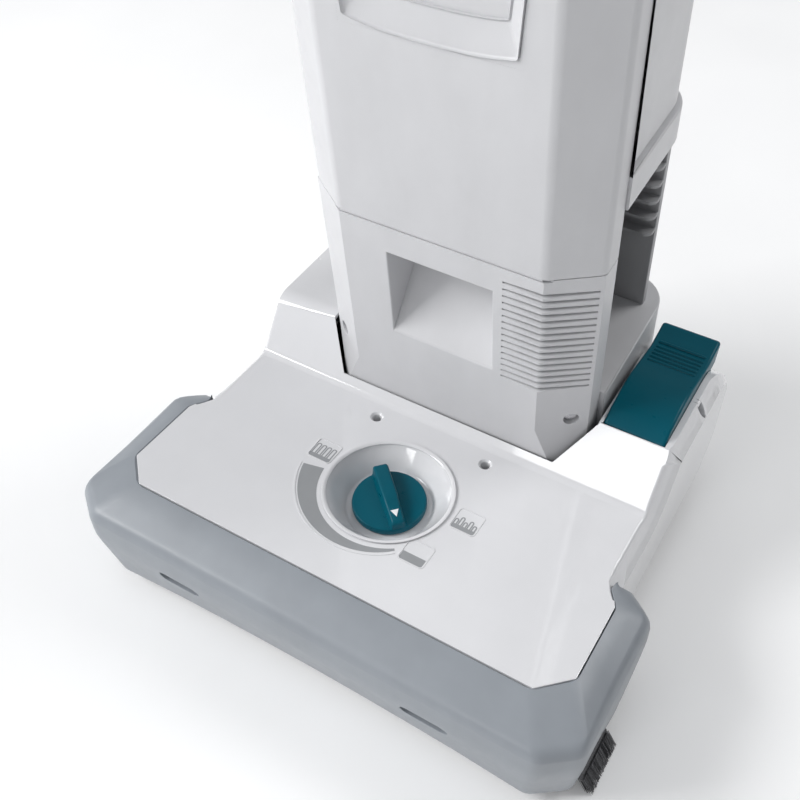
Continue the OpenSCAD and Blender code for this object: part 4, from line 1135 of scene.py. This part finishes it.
@dataclass
class Brushes:
    """Brush roller with its drive, and the bristle strips beside the head."""

    roller_y: float = 54
    roller_z: float = 30
    core_r: float = 18
    tip_r: float = 29
    tufts: int = 20
    core_len: float = 270
    strip_lo: float = 34
    strip_hi: float = 74

    def build(self) -> None:
        """Builds and dresses the brushes."""
        self.roller()
        self.strips()
        for node in ("roller_core", "roller_pulley", "motor_pulley", "brush_motor", "drive_belt"):
            soften(node, False, [(0.5, sharp, 2)])

    def hair(self, name: str, root: Vector, tip: Vector, thick: float) -> Object:
        """One tapered bristle."""
        deselect()
        bpy.ops.mesh.primitive_cone_add(vertices=4, radius1=thick * MM, radius2=thick * 0.55 * MM,
                                        depth=(tip - root).length, location=(root + tip) / 2,
                                        rotation=(tip - root).to_track_quat("Z", "Y").to_euler())
        obj = bpy.context.object
        obj.name = name
        apply_place(obj)
        return obj

    def ruffle(self, obj: Object, test: Callable[[Vector], bool], amount: float, seed: int) -> None:
        """Scatters the tips of bristles.

        Args:
            obj: the bristles.
            test: picks the tips by their place in mm.
            amount: how far they move, mm.
            seed: seed of the scatter.
        """
        with editing(obj, "VERT"):
            mesh = bmesh.from_edit_mesh(obj.data)
            for vert in mesh.verts:
                vert.select_set(test(Vector((vert.co.x / MM, (vert.co.y - FRONT) / MM, vert.co.z / MM))))
            bmesh.update_edit_mesh(obj.data)
            bpy.ops.transform.vertex_random(offset=amount * MM, uniform=0, normal=0, seed=seed)

    def roller(self) -> None:
        """Tufts in two spirals; one tuft is modelled and the others are its copies."""
        y, z = self.roller_y, self.roller_z
        hairs = []
        for ring, count in ((0, 1), (1.5, 6), (3.0, 11)):
            for k in range(count):
                a = 2 * math.pi * k / count
                u, v = ring * math.cos(a), ring * math.sin(a)
                hairs.append(self.hair("hair", at(u, y + v, z + self.core_r - 0.4),
                                       at(u * 1.3, y + v * 1.3, z + self.tip_r - 0.7), 0.34))
        tuft = join("tuft", hairs)
        self.ruffle(tuft, lambda p: p.z > z + self.tip_r - 2, 0.5, 3)
        centre = at(0, y, z)
        tufts = []
        for row in (0, 1):
            for i in range(self.tufts):
                x = (i - (self.tufts - 1) / 2) * (self.core_len - 20) / self.tufts
                turn = (Matrix.Translation(at(x, y, z))
                        @ Matrix.Rotation(math.radians(row * 180 + i * 18), 4, "X")
                        @ Matrix.Translation(-centre))
                tufts.append(copy_of(tuft, "tuft_copy", turn))
        bpy.data.objects.remove(tuft)
        obj = join("roller_tufts", tufts)
        dress(obj, "roller_bristles")

    def strips(self) -> None:
        """Edge strips: a holder and three rows of fine bristles on each side."""
        y = self.strip_lo + 0.6
        hair = self.hair("strip_hair", at(189.2, y, 14), at(196.5, y, 0.7), 0.36)
        count = int((self.strip_hi - self.strip_lo - 1) / 0.9)
        modify(hair, "ARRAY", count=count, use_relative_offset=False, use_constant_offset=True,
               constant_offset_displace=(0, 0.9 * MM, 0))
        modify(hair, "ARRAY", count=4, use_relative_offset=False, use_constant_offset=True,
               constant_offset_displace=(1.5 * MM, 0.22 * MM, 0))
        self.ruffle(hair, lambda p: p.z < 3, 0.8, 5)
        holder = box("strip_holder", at(186.3, self.strip_lo, 11.6), at(192.8, self.strip_hi, 14))
        round_edges(holder, 0.8, sharp, 3)
        right = join("edge_strip_right", [hair, holder])
        left = copy_of(right, "edge_strip_left", Matrix.Scale(-1, 4, Vector((1, 0, 0))))
        clean(left)
        obj = join("edge_strips", [right, left])
        complete(obj, "edge_brushes", 50)


@dataclass
class Undercarriage:
    """Front carriage with its rollers, and the rear wheels."""

    wheel_y: float = 284
    wheel_r: float = 36
    inner: float = 116.5
    outer: float = 144.5
    grooves: int = 3

    def build(self) -> None:
        """Builds and dresses the undercarriage."""
        for side in Side:
            name = side.name.lower()
            self.tyre(side, f"rear_tyre_{name}")
            soften(f"rear_wheel_{name}", False, [(0.8, sharp, 3)])
        for node in ("front_carriage", "front_rollers", "rear_axles"):
            soften(node, False, [(0.6, sharp, 3)])

    def tyre(self, side: Side, node: str) -> None:
        """Rubber tyre with grooves round its tread.

        Args:
            side: which wheel.
            node: the CAD node it stands for.
        """
        x0, x1, r = self.inner + 1, self.outer - 1, self.wheel_r
        profile = [(x0, r - 5), (x0, r - 1.6), (x0 + 0.5, r - 0.5), (x0 + 1.8, r)]
        step = (x1 - x0) / (self.grooves + 1)
        for k in range(1, self.grooves + 1):
            x = x0 + step * k
            profile += [(x - 1.1, r), (x - 0.7, r - 1.3), (x + 0.7, r - 1.3), (x + 1.1, r)]
        profile += [(x1 - 1.8, r), (x1 - 0.5, r - 0.5), (x1, r - 1.6), (x1, r - 5), (x0, r - 5)]
        points = [at(side.value * x, self.wheel_y, self.wheel_r + q) for x, q in profile]
        obj = lathe(f"{node}_tread", points, at(0, self.wheel_y, self.wheel_r), Vector((1, 0, 0)), 96)
        complete(obj, node, 40)


@dataclass
class ReleasePedal:
    """Foot pedal that frees the body to tilt, with its pawl, pins and spring."""

    inner: float = 111.4
    outer: float = 155.4
    ridges: int = 6
    ridge_y: float = 285
    ridge_step: float = 4.7
    spring_x: float = 137.4
    spring_y: float = 270
    spring_r: float = 6
    wire: float = 0.8
    spring_lo: float = 80
    spring_hi: float = 121

    def build(self) -> None:
        """Builds and dresses the pedal and its mechanism."""
        def broad(edge: Edge) -> bool:
            """Picks the outline of the pedal's top."""
            return edge.angle > 35 and edge.mid.z > 120 and edge.length > 1.5

        def fine(edge: Edge) -> bool:
            """Picks the other edges of the pedal."""
            return edge.angle > 40 and edge.length > 1.5 and edge.mid.z < 118

        soften("release_pedal", False, [(2.2, broad, 4), (0.6, fine, 2)], angle=45)
        self.ridge_set()
        self.coil()
        for node in ("lock_pawl", "pedal_pins"):
            soften(node, False, [(0.5, sharp, 2)])

    def ridge_set(self) -> None:
        """Grip ridges across the rear of the pedal."""
        parts = []
        for i in range(self.ridges):
            y = self.ridge_y + i * self.ridge_step
            z = 137.2 - 5.2 * (y - 273) / 31 if y < 304 else 132 + 3 * (y - 304) / 14
            z -= 0.35
            rings = []
            for x, s in ((self.inner + 4, 0.35), (self.inner + 5, 1),
                         (self.outer - 5, 1), (self.outer - 4, 0.35)):
                rings.append([at(x, y + 1.35 * s * math.cos(a), z + 1.5 * s * math.sin(a))
                              for a in [math.radians(30 * k) for k in range(12)]])
            parts.append(loft("ridge", rings))
        obj = join("pedal_ridges", parts)
        complete(obj, "release_pedal", 50, stands_for=False)

    def coil(self) -> None:
        """Coil spring under the pedal."""
        turns = 9
        pitch = (self.spring_hi - self.spring_lo - 2 * self.wire) / turns
        radius = self.spring_r - self.wire
        wire = [on_circle(self.spring_x + radius, self.spring_lo + self.wire, self.wire, 45 * k)
                for k in range(8)]
        outline = [at(x, self.spring_y, z) for x, z in wire]
        ring = trace("pedal_coil", outline + outline[:1])
        anchor = at(self.spring_x, self.spring_y, 0)
        turn_into(ring, Matrix.Translation(-anchor))
        modify(ring, "SCREW", axis="Z", angle=2 * math.pi * turns, screw_offset=pitch * turns * MM,
               steps=20 * turns, render_steps=20 * turns, use_merge_vertices=False)
        turn_into(ring, Matrix.Translation(anchor))
        clean(ring)
        complete(ring, "pedal_spring", 60)
        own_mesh(ring)


# ---------------------------------------------------------------- upright body


@dataclass
class TiltBody:
    """Lower front with louvres and hand pocket, motor housing, column, spine and rear housing."""

    face_y: float = 199
    face_half: float = 72
    pocket_half: float = 38
    louvre_x: float = 45

    def build(self) -> None:
        """Builds and dresses the body's mouldings."""
        def long_edge(edge: Edge) -> bool:
            """Picks the long outer corners."""
            return edge.angle > 30 and edge.length > 12

        def back(edge: Edge) -> bool:
            """Picks the outer edges away from the seam at the front."""
            return sharp(edge) and edge.convex and edge.mid.y > 241

        self.lower_front()
        soften("motor_housing", True, [(1.0, back, 3), (0.35, lambda e: sharp(e) and e.convex, 2)])
        soften("inner_column", True, [(0.8, long_edge, 2)])
        soften("rear_spine", True, [(0.7, sharp, 3)], SPINE)
        soften("rear_housing", True, [(1.4, back, 3), (0.35, lambda e: sharp(e) and e.convex, 2)])
        soften("body_screws", True, [(0.3, sharp, 2)])
        for node in ("pivot_trunnions", "pivot_drum"):
            soften(node, True, [(0.5, sharp, 2)])
        soften("cover_seal", True, [(0.5, sharp, 2)], SPINE)

    def lower_front(self) -> None:
        """Lower front moulding: soft corners, convex slats, rounded pocket."""
        def slat(edge: Edge) -> bool:
            """Picks the front edges of the louvre slots."""
            corner = self.face_y + 0.75 * (edge.mid.x - self.face_half)
            return (edge.mid.x > self.louvre_x - 0.5 and 165 < edge.mid.z < 260 and edge.convex
                    and edge.angle > 50 and abs(edge.along.z) < 0.1
                    and (edge.mid.y < self.face_y + 0.4 or edge.mid.y < corner + 0.5))

        def pocket(edge: Edge) -> bool:
            """Picks the rim of the hand pocket."""
            return (abs(edge.mid.x) < self.pocket_half + 0.5 and abs(edge.mid.y - self.face_y) < 0.3
                    and 171 < edge.mid.z < 246 and edge.angle > 30)

        obj = skin("lower_housing", True)
        round_edges(obj, 1.5, pocket, 4)
        round_edges(obj, 1.2, slat, 3)
        complete(obj, "lower_housing", leaning=True)


@dataclass
class DustCover:
    """Tall front cover over the bag, with its latch."""

    face_y: float = 199
    face_half: float = 72
    side_half: float = 102
    corner_y: float = 220

    def build(self) -> None:
        """Builds and dresses the cover."""
        def corner(edge: Edge) -> bool:
            """Picks the long upright corners outside."""
            near = min((Vector((abs(edge.mid.x), edge.mid.y)) - Vector(p)).length
                       for p in ((self.face_half, self.face_y), (self.side_half, self.corner_y)))
            return abs(edge.along.z) > 0.9 and near < 0.6

        def rim(edge: Edge) -> bool:
            """Picks the other outer edges."""
            return edge.angle > 28 and edge.length > 2 and edge.convex and abs(edge.along.z) < 0.98

        soften("dust_cover", True, [(3.2, corner, 5), (0.4, rim, 2)])
        self.bezel()
        soften("cover_latch", True, [(0.8, sharp, 3)])

    def bezel(self) -> None:
        """Slanted frame of the sunken panel, with a bowed lower edge."""
        def outline(half: float, low: float, high: float, bow: float, taper: float) -> list[Pair]:
            """Outline of the panel: bowed below, its sides widening upwards."""
            points = []
            for i in range(17):
                t = -1 + i / 8
                points.append(((half - taper) * t, low + bow * abs(t) ** 2.6))
            return points + [(half, low + 40), (half, high), (-half, high), (-half, low + 40)]

        wide = outline(54.3, 403.4, 645, 4.5, 3)
        tight = outline(47.5, 421.5, 636, 3, 4)
        frame_ = box("panel_bezel", at(-54.95, self.face_y + 0.02, 402.6),
                     at(54.95, self.face_y + 5.3, 646.4))
        rings = []
        for points, y in ((wide, self.face_y - 0.4), (wide, self.face_y + 0.1), (tight, self.face_y + 5),
                          (tight, self.face_y + 6)):
            rings.append([at(x, y, z) for x, z in points])
        cutter = loft("bezel_cutter", rings)
        clean(cutter)
        subtract(frame_, cutter, "MANIFOLD")
        round_edges(frame_, 1.5, lambda e: e.angle > 15 and 402.8 < e.mid.z < 640 and abs(e.mid.x) < 54.8, 4)
        complete(frame_, "dust_cover", leaning=True, stands_for=False)


@dataclass
class CapAndHandle:
    """Top cap with its gauge, the tube and the grip loop with its switch."""

    leds: int = 4

    def build(self) -> None:
        """Builds and dresses the top of the machine."""
        soften("top_cap", True, [(2.2, lambda e: sharp(e) and e.convex and e.length > 6, 4)])
        soften("battery_gauge", True, [(0.6, sharp, 3)])
        self.lenses()
        for node, width in (("handle_socket", 1.0), ("handle_tube", 0.4), ("handle_grip", 0.8),
                            ("power_switch", 0.8)):
            soften(node, True, [(width, sharp, 3)])
        soften("control_board", True, [(0.2, sharp, 1)])

    def lenses(self) -> None:
        """Row of status lenses in the gauge."""
        parts = []
        for i in range(self.leds):
            x = (i - (self.leds - 1) / 2) * 11
            lens = box("lens", at(x - 3.6, 198.55, 713.2), at(x + 3.6, 199.4, 716.8))
            round_edges(lens, 0.35, sharp, 3)
            parts.append(lens)
        obj = join("gauge_lenses", parts)
        complete(obj, "battery_gauge", leaning=True, finish=LED, stands_for=False)


@dataclass
class BatteryDock:
    """Battery pack in its cradle behind the body."""

    def build(self) -> None:
        """Builds and dresses the battery."""
        soften("battery_cradle", True, [(1.0, sharp, 3)])
        soften("battery_pack", True, [(1.2, sharp, 3)])
        soften("battery_release", True, [(0.8, sharp, 3)])


@dataclass
class SuctionHose:
    """Ribbed hose, cuffs, wand and clips at the rear."""

    x: float = 32
    y: float = 357
    r: float = 17
    low: float = 170
    high: float = 440
    pitch: float = 6

    def build(self) -> None:
        """Builds and dresses the hose side."""
        self.hose()
        for node in ("hose_cuffs", "suction_wand", "wand_clips", "crevice_tool"):
            soften(node, True, [(0.8, sharp, 3)])

    def hose(self) -> None:
        """Hose of rounded ribs, spun from one long profile."""
        profile = [(self.r - 4, self.low), (self.r - 2, self.low)]
        z = self.low + 1.5
        while z < self.high - self.pitch:
            for t, q in ((0, -2.2), (0.14, -1.2), (0.27, -0.3), (0.42, 0), (0.58, 0), (0.73, -0.3),
                         (0.86, -1.2)):
                profile.append((self.r + q, z + t * self.pitch))
            z += self.pitch
        profile += [(self.r - 2.2, self.high - 1), (self.r - 2, self.high), (self.r - 4, self.high),
                    (self.r - 4, self.low)]
        obj = turned("ribbed_hose", self.x, self.y, profile, 40)
        complete(obj, "hose", 60, leaning=True)


@dataclass
class FilterBag:
    """Dust bag, its card collar, the riser that feeds it, and the exhaust filter."""

    half: float = 75
    front: float = 211
    back: float = 289
    low: float = 317
    high: float = 638

    def build(self) -> None:
        """Builds and dresses the bag side."""
        self.bag()
        for node in ("bag_collar", "air_riser", "exhaust_filter"):
            soften(node, True, [(0.4, sharp, 2)])

    def bag(self) -> None:
        """Part-filled bag: gusseted sides, pleated top, slack creases above a full belly."""
        depth, middle = (self.back - self.front) / 2, (self.back + self.front) / 2
        rings = []
        levels = 46
        for j in range(levels + 1):
            t = j / levels
            z = self.low + (self.high - self.low) * t
            end = min(1, t / 0.07, (1 - t) / 0.1)
            full = math.sin(math.pi * min(1, 0.18 + 0.9 * t)) ** 0.5
            rounding = math.sin(end * math.pi / 2)
            close = 0.55 + 0.45 * rounding if t < 0.5 else 0.12 + 0.88 * rounding
            ring = []
            for k in range(64):
                a = 2 * math.pi * k / 64
                c, s = math.cos(a), math.sin(a)
                w = self.half * (0.93 + 0.07 * full) * math.copysign(abs(c) ** 0.42, c)
                d = depth * (0.78 + 0.2 * full) * close * math.copysign(abs(s) ** 0.55, s)
                fold = math.exp(-(s / 0.22) ** 2) * (1 - 0.75 * full * (1 - t)) * 9
                w -= math.copysign(fold, c)
                crease = 1.3 * math.sin(11 * a + 9 * t) * math.sin(23 * t + 2 * c) * (0.35 + t)
                pull = 1.5 * math.sin(31 * t + 3 * math.sin(a)) * t * t
                scale = 1 - (crease + pull + 2.8) / 90
                ring.append(at(w * scale, middle + d * scale, z))
            rings.append(ring)
        obj = loft("fleece_bag", rings)
        modify(obj, "SUBSURF", levels=1, render_levels=1)
        complete(obj, "dust_bag", 70, leaning=True)


@dataclass
class FanUnit:
    """Suction fan and its motor."""

    def build(self) -> None:
        """Builds and dresses the fan."""
        soften("fan_motor", True, [(0.8, sharp, 3)])
        soften("fan_impeller", True, [(0.3, sharp, 2)])


# ---------------------------------------------------------------- studio


@dataclass
class Studio:
    """Pale floor, soft light and the camera."""

    lens: float = 46.06
    place: Triple = (0.24647, -0.43476, 0.64880)
    right: Triple = (0.8539, 0.5200, -0.0213)
    down: Triple = (0.3653, -0.6280, -0.6872)
    forward: Triple = (-0.3707, 0.5790, -0.7262)

    def build(self) -> None:
        """Builds the floor, the lights, the surroundings and the camera."""
        self.floor()
        self.world()
        self.lamp("key", (-2.0, -1.3, 1.9), (0, 0, 0.15), (1.5, 1.1), 60)
        self.lamp("top", (1.1, 1.2, 1.9), (0, 0, 0.1), (1.0, 1.0), 19)
        self.lamp("window", (-0.19, -1.77, 0.93), (0.1, 0, 0.1), (0.5, 0.34), 3)
        self.camera()
        scene = bpy.context.scene
        scene.view_settings.view_transform = "Standard"
        scene.view_settings.look = "None"

    def floor(self) -> None:
        """Wide pale floor."""
        deselect()
        bpy.ops.mesh.primitive_grid_add(x_subdivisions=8, y_subdivisions=8, size=5)
        floor = bpy.context.object
        floor.name = "studio_floor"
        graph = Graph("studio_floor")
        graph.color(graph.tint(graph.spread(graph.noise(400, 3), 0, 1), (244, 244, 244), (250, 250, 250)))
        graph.roughness(graph.spread(graph.noise(200, 2), 0.75, 0.85))
        graph.set(Emission_Strength=0.06)
        floor.data.materials.append(graph.material)

    def world(self) -> None:
        """Soft white surroundings, pure white where the camera sees them."""
        world = bpy.data.worlds.new("studio")
        bpy.context.scene.world = world
        world.use_nodes = True
        nodes, links = world.node_tree.nodes, world.node_tree.links
        nodes.clear()
        out, mix, soft, white, path, coords, facing, level = (
            nodes.new(f"ShaderNode{kind}")
            for kind in ("OutputWorld", "MixShader", "Background", "Background", "LightPath", "TexCoord",
                         "VectorMath", "MapRange"))
        soft.inputs["Color"].default_value = (0.95, 0.97, 1, 1)
        # brighter from the front left, dim behind on the right
        facing.operation = "DOT_PRODUCT"
        facing.inputs[1].default_value = (-0.72, -0.4, 0.56)
        for name, value in (("From Min", -1), ("From Max", 1), ("To Min", 0.02), ("To Max", 0.58)):
            level.inputs[name].default_value = value
        white.inputs["Color"].default_value = (1, 1, 1, 1)
        white.inputs["Strength"].default_value = 1
        for source, socket, target, entry in (
                (coords, "Generated", facing, 0), (facing, "Value", level, "Value"),
                (level, "Result", soft, "Strength"), (path, "Is Camera Ray", mix, "Fac"),
                (soft, "Background", mix, 1), (white, "Background", mix, 2), (mix, "Shader", out, "Surface")):
            links.new(source.outputs[socket], target.inputs[entry])

    def lamp(self, name: str, place: Triple, target: Triple,
             size: Pair, power: float) -> None:
        """Adds a soft rectangular light.

        Args:
            name: name of the light.
            place: where it stands, metres.
            target: the point that it faces.
            size: its width and height, metres.
            power: its power, watts.
        """
        deselect()
        bpy.ops.object.light_add(type="AREA", location=place)
        light = bpy.context.object
        light.name = name
        light.data.shape = "RECTANGLE"
        light.data.size, light.data.size_y = size
        light.data.energy = power
        light.rotation_euler = (Vector(target) - Vector(place)).to_track_quat("-Z", "Y").to_euler()

    def camera(self) -> None:
        """Camera at the angle of the product view."""
        deselect()
        bpy.ops.object.camera_add()
        camera = bpy.context.object
        camera.data.lens = self.lens
        camera.data.sensor_width = 36
        camera.data.clip_start = 0.01
        camera.data.dof.use_dof = False
        columns = (Vector(self.right), -Vector(self.down), -Vector(self.forward))
        matrix = Matrix([[c[i] for c in columns] for i in range(3)]).to_4x4()
        camera.matrix_world = Matrix.Translation(Vector(self.place)) @ matrix
        bpy.context.scene.camera = camera


def main() -> None:
    """Builds every sub-assembly in order and reports it."""
    logging.basicConfig(level=logging.INFO, format="%(name)s %(message)s")
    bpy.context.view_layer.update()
    for assembly in (Studio(), FloorHead(), HeightDial(), Brushes(), Undercarriage(), ReleasePedal(),
                     TiltBody(), DustCover(), CapAndHandle(), BatteryDock(), SuctionHose(), FilterBag(),
                     FanUnit()):
        assembly.build()
        LOG.info("%s built", type(assembly).__name__)


if __name__ == "__main__":
    main()
